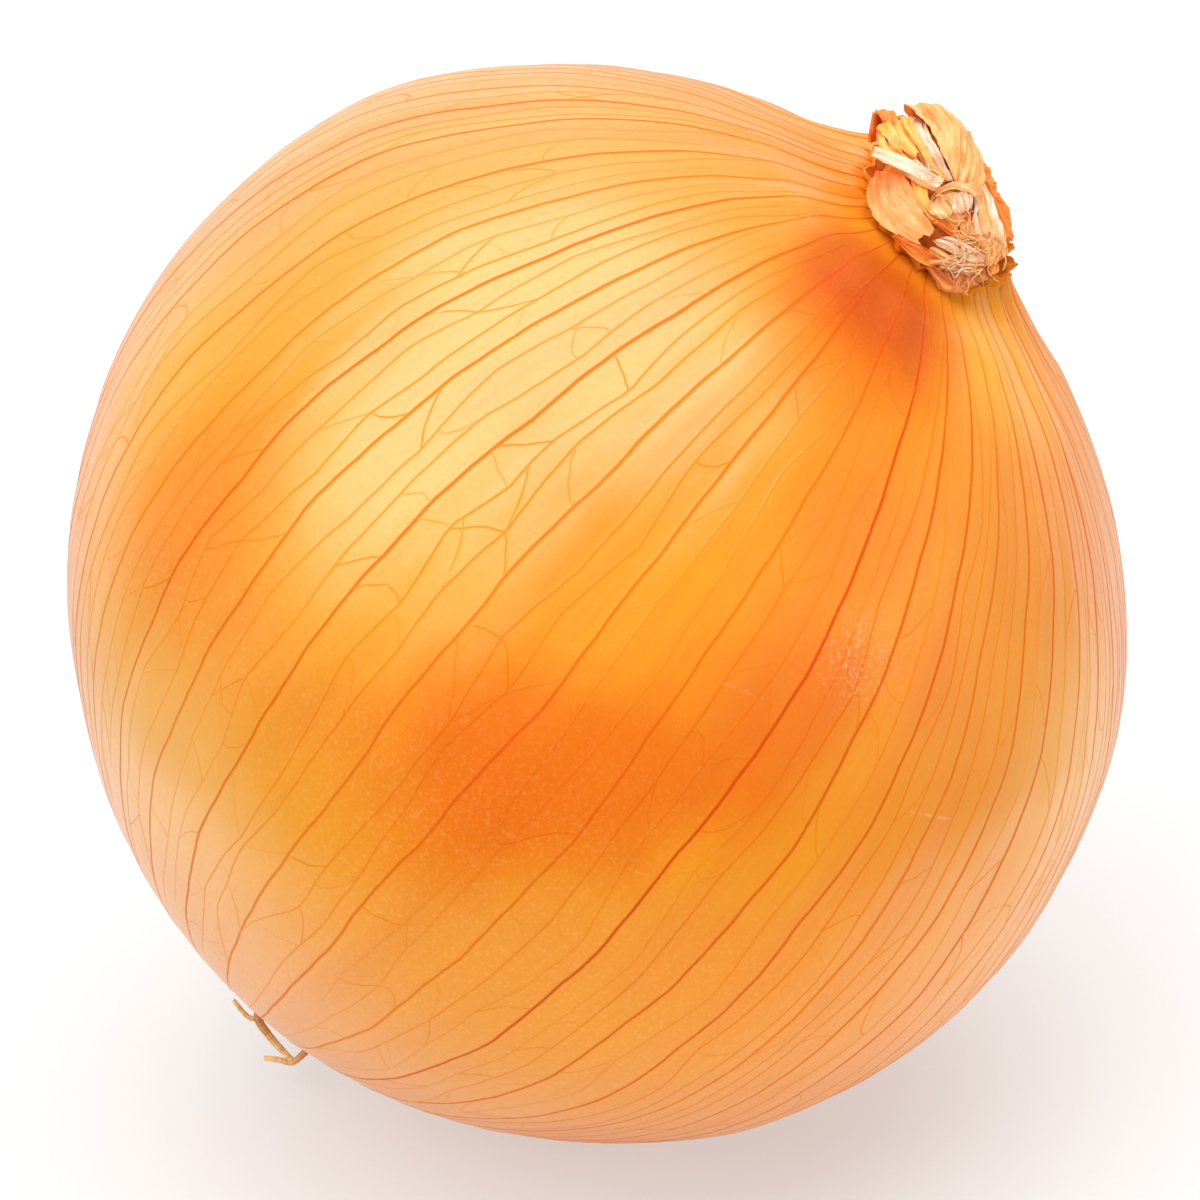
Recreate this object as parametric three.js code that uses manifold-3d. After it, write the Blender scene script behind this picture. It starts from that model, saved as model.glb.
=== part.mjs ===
// A whole yellow onion in its dry skin, lying on its side on the small flat spot that it rests on.
// Three pieces: the skin-covered bulb with its gathered neck, the dry twist of withered leaves
// in the neck, and the corky root plate with its dry root stubs.
import * as THREE from "three";
import { mergeVertices } from "three/addons/utils/BufferGeometryUtils.js";
import Module from "manifold-3d";

const wasm = await Module();
wasm.setup();

// How the onion lies, in millimetres and degrees. Its own axis runs from the roots to the neck.
const BULB_CENTRE = [-0.5, 0.05, 43.3];
const LEAN = 38.6;

// Half outline of the bulb as [radius, height along its own axis], root end first.
const BULB_OUTLINE = [
  [8.4, -43.2],
  [15.05, -41.3],
  [28.1, -33.5],
  [40.5, -18.9],
  [45.4, 0],
  [41.2, 19.2],
  [31.3, 31.3],
  [21.8, 37.8],
  [14.8, 40.7],
  [9.7, 42.9],
  [7.9, 44.5],
  [8.0, 46.1],
];
const BULB_SIDES = 100;
const BULB_ROWS = 38;
const LOPSIDED_X = -0.025;
const LOPSIDED_Y = 0.02;

// Gathers of the skin, deepest at the neck, and low swellings that run from end to end.
const PLEATS = 20;
const PLEAT_DEPTH = 0.42;
const PLEAT_START_RADIUS = 27;
const SWELL_DEPTH = 0.28;

// The mouth of the neck tips over, and its rim isn't round: radii every 45 degrees, and how far
// the ragged rim stands above or below the mouth at the same eight places.
const MOUTH_BEARING = -17.35;
const MOUTH_TIP = 22;
const MOUTH_HEIGHT = 46.15;
const TIP_PIVOT_HEIGHT = 44.2;
const MOUTH_SIDESTEP = 0.55;
const MOUTH_MEAN_RADIUS = 8.0;
const MOUTH_RADII = [8.1, 8.7, 8.4, 7.7, 8.3, 8.6, 7.7, 6.9];
const RIM_LIFTS = [0.3, -0.6, -1.0, -0.7, -0.2, -0.3, -0.2, 0.1];
const RIM_TOOTH = 0.3;
const RIM_WALL = 0.9;
const CUP_RADIUS = 6.9;
const CUP_DEPTH = 2.3;
const GAP = 0.35;

// Dry leaf strips over the neck, in the mouth's own frame: [across, towards, up, half width].
const CORE_HEIGHT = 2.75;
const DOME_RADIUS = 9.2;
const LEAF_STRIPS = [
  { name: "back flap", path: [[-3.7, -3.4, 0.9, 1.2], [-5.9, -5.4, 1.9, 1.8], [-4.6, -2.7, 2.85, 1.75],
    [-2.2, -0.5, 3.05, 1.5], [-0.1, 2.0, 3.1, 0.6]] },
  { name: "back band", path: [[-1.1, -5.0, 0.8, 1.1], [-1.5, -6.8, 1.8, 1.2], [-0.4, -3.8, 2.95, 1.3],
    [0.4, -1.0, 3.2, 1.2], [0.6, 1.8, 3.2, 0.6]] },
  { name: "left flap", path: [[-4.7, -0.2, 0.5, 1.3], [-6.9, -0.3, 1.7, 1.7], [-5.3, 0.9, 2.35, 1.6],
    [-3.2, 2.3, 2.7, 1.3], [-0.9, 2.9, 3.0, 0.6]] },
  { name: "pale strip", path: [[-7.3, 5.0, 1.5, 0.5], [-5.1, 4.8, 2.3, 0.6], [-3.3, 4.3, 2.75, 0.8],
    [-1.0, 3.8, 3.0, 0.7]] },
  { name: "front flap", path: [[-4.3, 4.9, 1.4, 1.1], [-3.9, 6.5, 1.05, 1.5], [-2.4, 7.3, 1.05, 1.6],
    [-0.4, 7.3, 1.3, 1.5], [1.0, 6.4, 1.7, 1.0]] },
  { name: "front inner leaf", path: [[-3.4, 4.4, 1.7, 0.9], [-1.6, 5.6, 2.0, 1.0], [0.4, 5.9, 2.1, 0.9]] },
  { name: "loop", path: [[-1.2, 5.2, 2.6, 0.45], [-0.6, 3.6, 3.3, 0.5], [0.5, 2.4, 3.75, 0.5],
    [1.8, 2.2, 3.5, 0.5], [2.4, 3.2, 2.8, 0.4]] },
  { name: "curled end", path: [[-0.4, 4.4, 2.9, 0.7], [0.7, 4.1, 3.3, 0.9], [1.6, 4.3, 3.0, 0.8]] },
  { name: "crumpled end", path: [[-1.0, 6.2, 2.0, 0.8], [0.2, 5.4, 2.7, 0.9], [1.4, 5.2, 2.6, 0.7]] },
  { name: "middle strand", path: [[1.2, 4.6, 2.6, 0.4], [2.1, 6.0, 2.3, 0.45], [2.7, 7.2, 1.6, 0.4]] },
  { name: "second strand", path: [[2.1, 4.0, 2.7, 0.4], [3.0, 5.2, 2.4, 0.45], [3.9, 6.3, 1.8, 0.4]] },
  { name: "right band", path: [[1.0, 0.0, 3.1, 0.8], [2.6, 1.5, 3.1, 1.15], [4.1, 3.0, 2.6, 1.35],
    [5.4, 4.1, 1.9, 1.1]] },
  { name: "right edge", path: [[1.4, -1.5, 2.9, 0.8], [4.0, -0.2, 2.6, 1.0], [6.0, 1.6, 1.9, 0.9]] },
  { name: "frayed end", path: [[5.9, 4.3, 1.7, 0.8], [4.8, 5.8, 1.7, 0.7], [3.2, 7.4, 1.2, 0.55],
    [1.6, 8.3, 0.8, 0.4]] },
  { name: "lower frayed end", path: [[5.6, 4.8, 1.6, 0.8], [4.8, 6.6, 1.1, 0.6], [3.2, 8.2, 0.5, 0.45]] },
  { name: "outer frayed end", path: [[5.8, 4.6, 1.4, 0.9], [5.9, 6.1, 0.9, 0.6], [5.3, 7.3, 0.5, 0.45]] },
  { name: "far strand", path: [[4.6, -3.2, 0.8, 0.8], [3.6, -3.0, 2.2, 0.9], [1.6, -2.0, 2.9, 0.7]] },
  { name: "far flap", path: [[1.6, -5.2, 0.6, 1.1], [1.8, -5.6, 1.6, 1.1], [1.4, -3.4, 2.6, 1.0]] },
];
const STRIP_STATIONS = 9;

// Root plate and its dry root stubs.
const PLATE_RADIUS = 7.0;
const PLATE_SEAT = -42.35;
const PLATE_CROWN = -44.25;
const ROOT_COUNT = 30;
const ROOT_BASE_RADIUS = 0.55;
const ROOT_TIP_RADIUS = 0.36;
const ROOT_SIDES = 5;
const ROOT_STATIONS = 5;
const ROOT_LENGTHS = [3.2, 7.6];
const FLOOR_CLEARANCE = 0.9;

const radians = THREE.MathUtils.degToRad;
const smooth = THREE.MathUtils.smoothstep;

/** Seeded random numbers from 0 to 1. */
function seededRandom(seed) {
  let state = seed;
  return () => {
    state = (Math.imul(state, 1664525) + 1013904223) >>> 0;
    return state / 4294967296;
  };
}

/** Value on a smooth closed curve through equally spaced values, at an angle in radians. */
function aroundMouth(values, angle) {
  const turn = (((angle / (2 * Math.PI)) % 1) + 1) % 1;
  const place = turn * values.length;
  const first = Math.floor(place) % values.length;
  const t = place - Math.floor(place);
  const at = (step) => values[(first + step + values.length) % values.length];
  const slopeIn = (at(1) - at(-1)) / 2;
  const slopeOut = (at(2) - at(0)) / 2;
  const rise = at(1) - at(0);
  return at(0) + t * (slopeIn + t * (3 * rise - 2 * slopeIn - slopeOut + t * (slopeIn + slopeOut - 2 * rise)));
}

/** Closed solid over a row of rings, each with the same number of points, ends closed by fans. */
function ringSolid(rings) {
  const sides = rings[0].length;
  const middle = (ring) => ring.reduce((sum, point) => sum.add(point), new THREE.Vector3())
    .divideScalar(sides);
  const points = [...rings.flat(), middle(rings[0]), middle(rings[rings.length - 1])];
  const startCentre = points.length - 2;
  const endCentre = points.length - 1;
  const lastRing = (rings.length - 1) * sides;
  const faces = [];
  for (let side = 0; side < sides; side += 1) {
    const next = (side + 1) % sides;
    faces.push([startCentre, next, side]);
    faces.push([endCentre, lastRing + side, lastRing + next]);
    for (let row = 0; row < lastRing; row += sides) {
      faces.push([row + side, row + next, row + sides + next]);
      faces.push([row + side, row + sides + next, row + sides + side]);
    }
  }
  const sixVolumes = faces.reduce((sum, [a, b, c]) =>
    sum + points[a].dot(new THREE.Vector3().crossVectors(points[b], points[c])), 0);
  const outward = sixVolumes > 0 ? faces : faces.map(([a, b, c]) => [a, c, b]);
  const geometry = new THREE.BufferGeometry().setFromPoints(points);
  geometry.setIndex(outward.flat());
  return geometry;
}

/** Manifold solid of a closed geometry. */
function toManifold(geometry) {
  const bare = geometry.clone();
  bare.deleteAttribute("normal");
  bare.deleteAttribute("uv");
  const merged = mergeVertices(bare);
  return new wasm.Manifold(new wasm.Mesh({
    numProp: 3,
    vertProperties: new Float32Array(merged.attributes.position.array),
    triVerts: new Uint32Array(merged.index.array),
  }));
}

/** Geometry of a manifold solid. */
function toGeometry(solid) {
  const mesh = solid.getMesh();
  const geometry = new THREE.BufferGeometry();
  geometry.setAttribute("position", new THREE.BufferAttribute(new Float32Array(mesh.vertProperties), 3));
  geometry.setIndex(new THREE.BufferAttribute(new Uint32Array(mesh.triVerts), 1));
  return geometry;
}

/** One solid out of several that run into each other, without the crumbs that joining leaves. */
function joined(geometries) {
  const whole = geometries.map(toManifold).reduce((sum, solid) => sum.add(solid));
  const bodies = whole.decompose().sort((a, b) => b.volume() - a.volume());
  return toGeometry(bodies[0]);
}

// The onion's own frame turned and lifted into the frame that it rests in.
const RESTING = new THREE.Matrix4()
  .makeRotationY(radians(LEAN))
  .setPosition(...BULB_CENTRE);

/** Height of a point of the onion's own frame above the surface that it lies on. */
function heightAboveFloor(point) {
  return point.clone().applyMatrix4(RESTING).z;
}

// Directions of the mouth: across it, and towards the side that it tips to.
const ACROSS = new THREE.Vector3(Math.cos(radians(MOUTH_BEARING)), Math.sin(radians(MOUTH_BEARING)), 0);
const TOWARDS = new THREE.Vector3(ACROSS.y, -ACROSS.x, 0);
const TIP_PIVOT = new THREE.Vector3(
  LOPSIDED_X * TIP_PIVOT_HEIGHT,
  LOPSIDED_Y * TIP_PIVOT_HEIGHT,
  TIP_PIVOT_HEIGHT,
);

/** Tips a point of the neck over by a share of the mouth's full tip. */
function tipped(point, share) {
  return point.clone()
    .sub(TIP_PIVOT)
    .applyAxisAngle(ACROSS, radians(MOUTH_TIP) * share)
    .add(TIP_PIVOT)
    .addScaledVector(ACROSS, MOUTH_SIDESTEP * share);
}

/** Point of the mouth's frame, in the onion's own frame. */
function mouthPoint(across, towards, up) {
  const upright = TIP_PIVOT.clone()
    .addScaledVector(ACROSS, across)
    .addScaledVector(TOWARDS, towards);
  upright.z += MOUTH_HEIGHT - TIP_PIVOT_HEIGHT + up;
  return tipped(upright, 1);
}

/** Angle round the mouth for a bearing in the onion's own frame. */
function mouthAngle(bearing) {
  return radians(MOUTH_BEARING) - bearing;
}

/** Rounded gathers of the skin round the neck, from -1 in a groove to 1 on a ridge. */
function pleat(bearing) {
  return Math.cos(PLEATS * bearing + 1.1 * Math.sin(3 * bearing) + 0.8 * Math.sin(5 * bearing + 1));
}

/** Height of the ragged rim above the mouth, at a bearing. */
function rimLift(bearing) {
  const teeth = 0.6 * pleat(bearing) + 0.4 * Math.sin(13 * bearing + 2);
  return aroundMouth(RIM_LIFTS, mouthAngle(bearing)) + RIM_TOOTH * teeth;
}

/** How much wider or narrower than round the mouth is, at a bearing. */
function mouthShape(bearing) {
  return aroundMouth(MOUTH_RADII, mouthAngle(bearing)) / MOUTH_MEAN_RADIUS;
}

/** Point on the skin for a radius and a height on the outline, at a bearing. */
function skinPoint(radius, height, bearing) {
  const nearNeck = smooth(height, 40.5, 45.5);
  const gathered = height > 0 ? smooth(PLEAT_START_RADIUS - radius, 0, PLEAT_START_RADIUS - 8.5) : 0;
  const middle = smooth(radius, 9, 38);
  const swell = 0.5 * Math.sin(7 * bearing + 0.6) + 0.3 * Math.sin(11 * bearing + 2.1)
    + 0.2 * Math.sin(4 * bearing);
  const widened = radius * (1 + (mouthShape(bearing) - 1) * nearNeck)
    + PLEAT_DEPTH * gathered * pleat(bearing)
    + SWELL_DEPTH * middle * swell;
  const lift = rimLift(bearing) * smooth(height, 43.6, 46);
  const point = new THREE.Vector3(
    widened * Math.cos(bearing) + LOPSIDED_X * height,
    widened * Math.sin(bearing) + LOPSIDED_Y * height,
    height + lift,
  );
  return tipped(point, nearNeck);
}

/** One ring of points, made by a function of the bearing. */
function ringOf(pointAt, sides) {
  return Array.from({ length: sides }, (_, side) => pointAt((2 * Math.PI * side) / sides));
}

/** Ring in the mouth's frame with the mouth's shape. */
function mouthRing(radius, heightAt, sides) {
  return ringOf((bearing) => {
    const angle = mouthAngle(bearing);
    const reach = radius * mouthShape(bearing);
    return mouthPoint(reach * Math.cos(angle), reach * Math.sin(angle), heightAt(bearing));
  }, sides);
}

/** Skin-covered bulb: seat for the root plate, body, gathered neck, ragged rim and cup. */
function makeBulb() {
  const outline = new THREE.CatmullRomCurve3(
    BULB_OUTLINE.map(([radius, height]) => new THREE.Vector3(radius, 0, height)),
  );
  outline.arcLengthDivisions = 2000;
  const seatRings = [[4, PLATE_SEAT], [PLATE_RADIUS + 0.3, PLATE_SEAT]];
  const bodyRings = outline.getSpacedPoints(BULB_ROWS).map((point) => [point.x, point.z]);
  const rings = [...seatRings, ...bodyRings].map(([radius, height]) =>
    ringOf((bearing) => skinPoint(radius, height, bearing), BULB_SIDES));
  rings.push(mouthRing(MOUTH_MEAN_RADIUS - RIM_WALL, (bearing) => rimLift(bearing) - 0.1, BULB_SIDES));
  rings.push(mouthRing(CUP_RADIUS, () => -CUP_DEPTH, BULB_SIDES));
  rings.push(mouthRing(CUP_RADIUS / 2, () => -CUP_DEPTH, BULB_SIDES));
  const below = new THREE.BoxGeometry(150, 150, 40)
    .translate(0, 0, -20)
    .applyMatrix4(new THREE.Matrix4().makeTranslation(BULB_CENTRE[0], BULB_CENTRE[1], 0))
    .applyMatrix4(RESTING.clone().invert());
  return toGeometry(toManifold(ringSolid(rings)).subtract(toManifold(below)));
}

/** Direction that stands out of the domed twist of leaves, in the mouth's frame. */
function domeNormal(point) {
  const steepness = CORE_HEIGHT / DOME_RADIUS;
  return new THREE.Vector3(point.x * steepness, point.y * steepness, point.z + 1).normalize();
}

/** Cross-section of a strip as [share of the half width, height]: flat below, crowned above. */
const STRIP_SECTION = [
  [-1, -0.36],
  [0, -0.36],
  [1, -0.36],
  [1, 0.36],
  [0.35, 0.45],
  [-0.35, 0.3],
  [-1, 0.36],
];

/** Thin leaf strip that follows a path of [across, towards, up, half width] places. */
function leafStrip(path) {
  const route = new THREE.CatmullRomCurve3(path.map(([x, y, z]) => new THREE.Vector3(x, y, z)));
  const rings = [];
  let out = domeNormal(route.getPoint(1));
  for (let station = STRIP_STATIONS; station >= 0; station -= 1) {
    const t = station / STRIP_STATIONS;
    const centre = route.getPoint(t);
    const along = route.getTangent(t);
    out = out.clone().addScaledVector(along, -out.dot(along)).normalize();
    const side = new THREE.Vector3().crossVectors(along, out);
    const place = t * (path.length - 1);
    const first = Math.min(Math.floor(place), path.length - 2);
    const halfWidth = THREE.MathUtils.lerp(path[first][3], path[first + 1][3], place - first);
    rings.push(STRIP_SECTION.map(([across, up]) => {
      const corner = centre.clone()
        .addScaledVector(side, across * halfWidth)
        .addScaledVector(out, up);
      return mouthPoint(corner.x, corner.y, corner.z);
    }));
  }
  return ringSolid(rings);
}

/** Packed dry leaf bases that fill the cup, under the strips. */
function neckCore() {
  const sides = 40;
  const reach = CUP_RADIUS - GAP;
  const domeAt = (radius) => CORE_HEIGHT * Math.sqrt(1 - (radius / DOME_RADIUS) ** 2);
  const ridge = (bearing) => 0.14 * Math.sin(12 * bearing) + 0.1 * Math.sin(7 * bearing + 1);
  const rings = [
    mouthRing(reach - 0.9, () => GAP - CUP_DEPTH, sides),
    mouthRing(reach - 0.25, () => GAP - CUP_DEPTH + 0.5, sides),
  ];
  for (const share of [0.93, 0.84, 0.68, 0.48, 0.24]) {
    const drop = share > 0.9 ? 0.7 : 0;
    rings.push(mouthRing(reach * share, (bearing) =>
      domeAt(reach * share) - drop + ridge(bearing) * share, sides));
  }
  return ringSolid(rings);
}

/** Dry twist of withered leaves in the neck. */
function makeDryNeck() {
  return joined([neckCore(), ...LEAF_STRIPS.map((strip) => leafStrip(strip.path))]);
}

/** One dry root stub: a tapering, curling tube from the plate. */
function rootStub(start, lean, length, curl) {
  const rings = [];
  const point = start.clone();
  const heading = lean.clone();
  const turnAxis = new THREE.Vector3(-curl.y, curl.x, 0).normalize();
  for (let station = 0; station <= ROOT_STATIONS; station += 1) {
    const t = station / ROOT_STATIONS;
    const radius = THREE.MathUtils.lerp(ROOT_BASE_RADIUS, ROOT_TIP_RADIUS, t);
    const side = new THREE.Vector3().crossVectors(heading, turnAxis).normalize();
    const other = new THREE.Vector3().crossVectors(heading, side).normalize();
    rings.push(ringOf((turn) => point.clone()
      .addScaledVector(side, radius * Math.cos(turn))
      .addScaledVector(other, radius * Math.sin(turn)), ROOT_SIDES));
    heading.applyAxisAngle(turnAxis, curl.length() / ROOT_STATIONS).normalize();
    point.addScaledVector(heading, length / ROOT_STATIONS);
  }
  return { geometry: ringSolid(rings), tip: point };
}

/** Corky plate at the root end, with its stubs of dry root. */
function makeRoots() {
  const random = seededRandom(41);
  const edge = (bearing) => 1 + 0.03 * Math.sin(5 * bearing) + 0.02 * Math.sin(9 * bearing + 1);
  const plateRing = (radius, height) => ringOf((bearing) => new THREE.Vector3(
    radius * edge(bearing) * Math.cos(bearing) + LOPSIDED_X * height,
    radius * edge(bearing) * Math.sin(bearing) + LOPSIDED_Y * height,
    height,
  ), 36);
  const seat = PLATE_SEAT - GAP;
  const pieces = [ringSolid([
    plateRing(PLATE_RADIUS - 0.6, seat),
    plateRing(PLATE_RADIUS - 0.2, seat - 0.45),
    plateRing(PLATE_RADIUS * 0.86, PLATE_CROWN + 0.42),
    plateRing(PLATE_RADIUS * 0.6, PLATE_CROWN + 0.1),
    plateRing(PLATE_RADIUS * 0.3, PLATE_CROWN),
  ])];
  for (let index = 0; index < ROOT_COUNT; index += 1) {
    const bearing = index * 2.39996 + 0.4 * random();
    const reach = PLATE_RADIUS * 0.86 * Math.sqrt((index + 0.5) / ROOT_COUNT);
    const outward = new THREE.Vector3(Math.cos(bearing), Math.sin(bearing), 0);
    const start = outward.clone().multiplyScalar(reach);
    start.x += LOPSIDED_X * PLATE_CROWN;
    start.y += LOPSIDED_Y * PLATE_CROWN;
    start.z = PLATE_CROWN + 0.75;
    const lean = outward.clone().multiplyScalar(0.25 + 0.5 * (reach / PLATE_RADIUS));
    lean.z = -1;
    lean.normalize();
    const curl = new THREE.Vector3(random() - 0.5, random() - 0.5, 0).multiplyScalar(2.2);
    let length = THREE.MathUtils.lerp(...ROOT_LENGTHS, random());
    let stub = rootStub(start, lean, length, curl);
    while (heightAboveFloor(stub.tip) < FLOOR_CLEARANCE && length > 1.6) {
      length *= 0.85;
      stub = rootStub(start, lean, length, curl);
    }
    pieces.push(stub.geometry);
  }
  return joined(pieces);
}

/** Named mesh of one piece of the onion. */
function piece(name, geometry, color, roughness) {
  const mesh = new THREE.Mesh(geometry, new THREE.MeshStandardMaterial({ color, roughness, metalness: 0 }));
  mesh.name = name;
  return mesh;
}

const onion = new THREE.Group();
onion.position.set(...BULB_CENTRE);
onion.rotation.y = radians(LEAN);
onion.add(piece("bulb", makeBulb(), "#f0953f", 0.42));
onion.add(piece("dry_neck", makeDryNeck(), "#dba468", 0.8));
onion.add(piece("roots", makeRoots(), "#c9a56a", 0.9));

export default onion;
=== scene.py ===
"""Looks of a whole yellow onion that lies on its side.

The papery skin with its veins, the dry twist of leaves in the neck and the corky root plate are
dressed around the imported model. Sizes of the onion are millimetres in its own frame, with its axis
along Z from root to neck, and every finished mesh is in metres in the room's frame.
"""

import logging
import math
import random
from collections.abc import Callable, Sequence
from dataclasses import dataclass, field
from enum import Enum
from typing import Any

import bpy
import numpy as np
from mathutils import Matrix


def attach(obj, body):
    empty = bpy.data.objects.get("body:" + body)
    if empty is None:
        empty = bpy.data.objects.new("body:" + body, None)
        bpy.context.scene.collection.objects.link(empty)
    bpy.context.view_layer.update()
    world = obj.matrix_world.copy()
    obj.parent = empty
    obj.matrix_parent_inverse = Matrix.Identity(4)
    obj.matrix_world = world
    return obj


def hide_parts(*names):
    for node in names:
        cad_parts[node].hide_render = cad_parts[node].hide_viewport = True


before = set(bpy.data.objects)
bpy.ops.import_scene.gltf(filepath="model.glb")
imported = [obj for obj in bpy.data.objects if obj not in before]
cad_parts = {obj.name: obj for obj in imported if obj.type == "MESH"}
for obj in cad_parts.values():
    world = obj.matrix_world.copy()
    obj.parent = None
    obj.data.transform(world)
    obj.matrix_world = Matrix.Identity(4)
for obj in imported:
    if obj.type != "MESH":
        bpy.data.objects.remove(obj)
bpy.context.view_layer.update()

LOG = logging.getLogger("onion")
MM = 0.001
TURN = 2 * math.pi
Colour = tuple[float, float, float]
Point = tuple[float, float, float]
ORIGIN: Point = (0.0, 0.0, 0.0)
ABOVE_FLOOR: Point = (-1.0, -1.0, 0.0)
WHITE = (1.0, 1.0, 1.0, 1.0)
SMOOTH_BELOW = math.radians(50)
SHARP_FROM = math.radians(60)
EDGE_ROWS = 90


def smoothstep(value: Any, low: float, high: float) -> Any:
    """Eases from 0 at low to 1 at high.

    Args:
        value: The number or array that is eased.
        low: Where the rise starts.
        high: Where the rise ends.

    Returns:
        Numbers from 0 to 1.
    """
    share = np.clip((np.asarray(value, float) - low) / (high - low), 0.0, 1.0)
    return share * share * (3 - 2 * share)


def around(values: Sequence[float], angles: np.ndarray) -> np.ndarray:
    """Reads a smooth closed curve through equally spaced values.

    Args:
        values: The values, the first at angle 0.
        angles: Where to read it, in radians.

    Returns:
        The value at each angle.
    """
    ring = np.asarray(values, float)
    place = (angles / TURN % 1.0) * len(ring)
    first = np.floor(place).astype(int)
    share = place - first
    before, here, after, beyond = (ring[(first + step) % len(ring)] for step in (-1, 0, 1, 2))
    slope_in, slope_out, rise = (after - before) / 2, (beyond - here) / 2, after - here
    bend = 3 * rise - 2 * slope_in - slope_out
    return here + share * (slope_in + share * (bend + share * (slope_in + slope_out - 2 * rise)))


def spline(points: Sequence[Sequence[float]], count: int) -> np.ndarray:
    """Places evenly spaced points on a smooth centripetal curve through the given ones.

    Args:
        points: The points that the curve passes through.
        count: How many points to place, the ends among them.

    Returns:
        An array with a row for each point.
    """
    given = np.asarray(points, float)
    padded = np.vstack([2 * given[0] - given[1], given, 2 * given[-1] - given[-2]])
    share = np.linspace(0.0, 1.0, 40, endpoint=False)[:, None]
    pieces = []
    for a, b, c, d in zip(padded, padded[1:], padded[2:], padded[3:]):
        spans = ((a, b), (b, c), (c, d))
        ab, bc, cd = (max(np.linalg.norm(end - start) ** 0.5, 1e-4) for start, end in spans)
        leave = ((b - a) / ab - (c - a) / (ab + bc) + (c - b) / bc) * bc
        arrive = ((c - b) / bc - (d - b) / (bc + cd) + (d - c) / cd) * bc
        bend = 3 * (c - b) - 2 * leave - arrive
        pieces.append(b + share * (leave + share * (bend + share * (2 * (b - c) + leave + arrive))))
    curve = np.vstack([*pieces, given[-1:]])
    steps = np.concatenate([[0.0], np.cumsum(np.linalg.norm(np.diff(curve, axis=0), axis=1))])
    wanted = np.linspace(0.0, steps[-1], count)
    return np.column_stack([np.interp(wanted, steps, curve[:, axis]) for axis in range(curve.shape[1])])


class Wobble:
    """A smooth irregular wave that is the same in every run."""

    def __init__(self, draw: random.Random, pitch: float, levels: int = 3) -> None:
        """Draws the waves.

        Args:
            draw: The seeded source of numbers.
            pitch: Length of the longest wave.
            levels: How many waves are added, each about half as long as the one before.
        """
        self.waves = [
            (0.62 ** level, TURN / pitch * 1.93 ** level, draw.uniform(0, TURN)) for level in range(levels)
        ]
        self.total = sum(wave[0] for wave in self.waves)

    def __call__(self, place: Any) -> Any:
        """Gives the wave's value, from -1 to 1, at a place or places."""
        return sum(size * np.sin(rate * place + start) for size, rate, start in self.waves) / self.total


@dataclass(frozen=True)
class OnionFrame:
    """Where the onion's own frame lies in the room, and where its mouth lies in that frame."""

    centre: Point = (-0.5, 0.05, 43.3)
    lean: float = math.radians(38.6)
    lopsided: tuple[float, float] = (-0.025, 0.02)
    mouth_bearing: float = math.radians(-17.35)
    mouth_tip: float = math.radians(22.0)
    mouth_height: float = 46.15
    pivot_height: float = 44.2
    sidestep: float = 0.55

    @property
    def across(self) -> np.ndarray:
        """The mouth's sideways direction."""
        return np.array([math.cos(self.mouth_bearing), math.sin(self.mouth_bearing), 0.0])

    @property
    def towards(self) -> np.ndarray:
        """The mouth's direction towards the viewer."""
        return np.array([math.sin(self.mouth_bearing), -math.cos(self.mouth_bearing), 0.0])

    @property
    def pivot(self) -> np.ndarray:
        """The point that the mouth is tipped about."""
        return np.array([self.lopsided[0], self.lopsided[1], 1.0]) * self.pivot_height

    @staticmethod
    def turned(points: np.ndarray, axis: np.ndarray, angle: float) -> np.ndarray:
        """Turns points about an axis through the origin.

        Args:
            points: The points, a row each.
            axis: The axis, of length 1.
            angle: The angle in radians.

        Returns:
            The turned points.
        """
        along = points @ axis
        return (points * math.cos(angle) + np.cross(axis, points) * math.sin(angle)
                + np.outer(along, axis) * (1 - math.cos(angle)))

    def to_room(self, points: np.ndarray) -> np.ndarray:
        """Takes points from the onion's frame in millimetres to the room's in metres."""
        return (self.turned(points, np.array([0.0, 1.0, 0.0]), self.lean) + np.array(self.centre)) * MM

    def from_mouth(self, points: np.ndarray) -> np.ndarray:
        """Takes points from the mouth's frame to the room's.

        Args:
            points: Rows of across, towards and up in millimetres.

        Returns:
            The points in metres in the room.
        """
        flat = np.outer(points[:, 0], self.across) + np.outer(points[:, 1], self.towards)
        flat[:, 2] += self.mouth_height - self.pivot_height + points[:, 2]
        tipped = self.turned(flat, self.across, self.mouth_tip)
        return self.to_room(tipped + self.pivot + self.across * self.sidestep)


PLACE = OnionFrame()


class Value:
    """A socket that gives a number, for use in expressions."""

    def __init__(self, sheet: "Sheet", socket: bpy.types.NodeSocket) -> None:
        """Wraps the socket of a node on a sheet."""
        self.sheet = sheet
        self.socket = socket

    def __add__(self, other: Any) -> "Value":
        """Adds."""
        return self.sheet.math("ADD", self, other)

    def __radd__(self, other: Any) -> "Value":
        """Adds from the right."""
        return self.sheet.math("ADD", other, self)

    def __sub__(self, other: Any) -> "Value":
        """Subtracts."""
        return self.sheet.math("SUBTRACT", self, other)

    def __rsub__(self, other: Any) -> "Value":
        """Subtracts this from another."""
        return self.sheet.math("SUBTRACT", other, self)

    def __mul__(self, other: Any) -> "Value":
        """Multiplies."""
        return self.sheet.math("MULTIPLY", self, other)

    def __rmul__(self, other: Any) -> "Value":
        """Multiplies from the right."""
        return self.sheet.math("MULTIPLY", other, self)

    def __truediv__(self, other: Any) -> "Value":
        """Divides."""
        return self.sheet.math("DIVIDE", self, other)

    def __rtruediv__(self, other: Any) -> "Value":
        """Divides another by this."""
        return self.sheet.math("DIVIDE", other, self)


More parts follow.
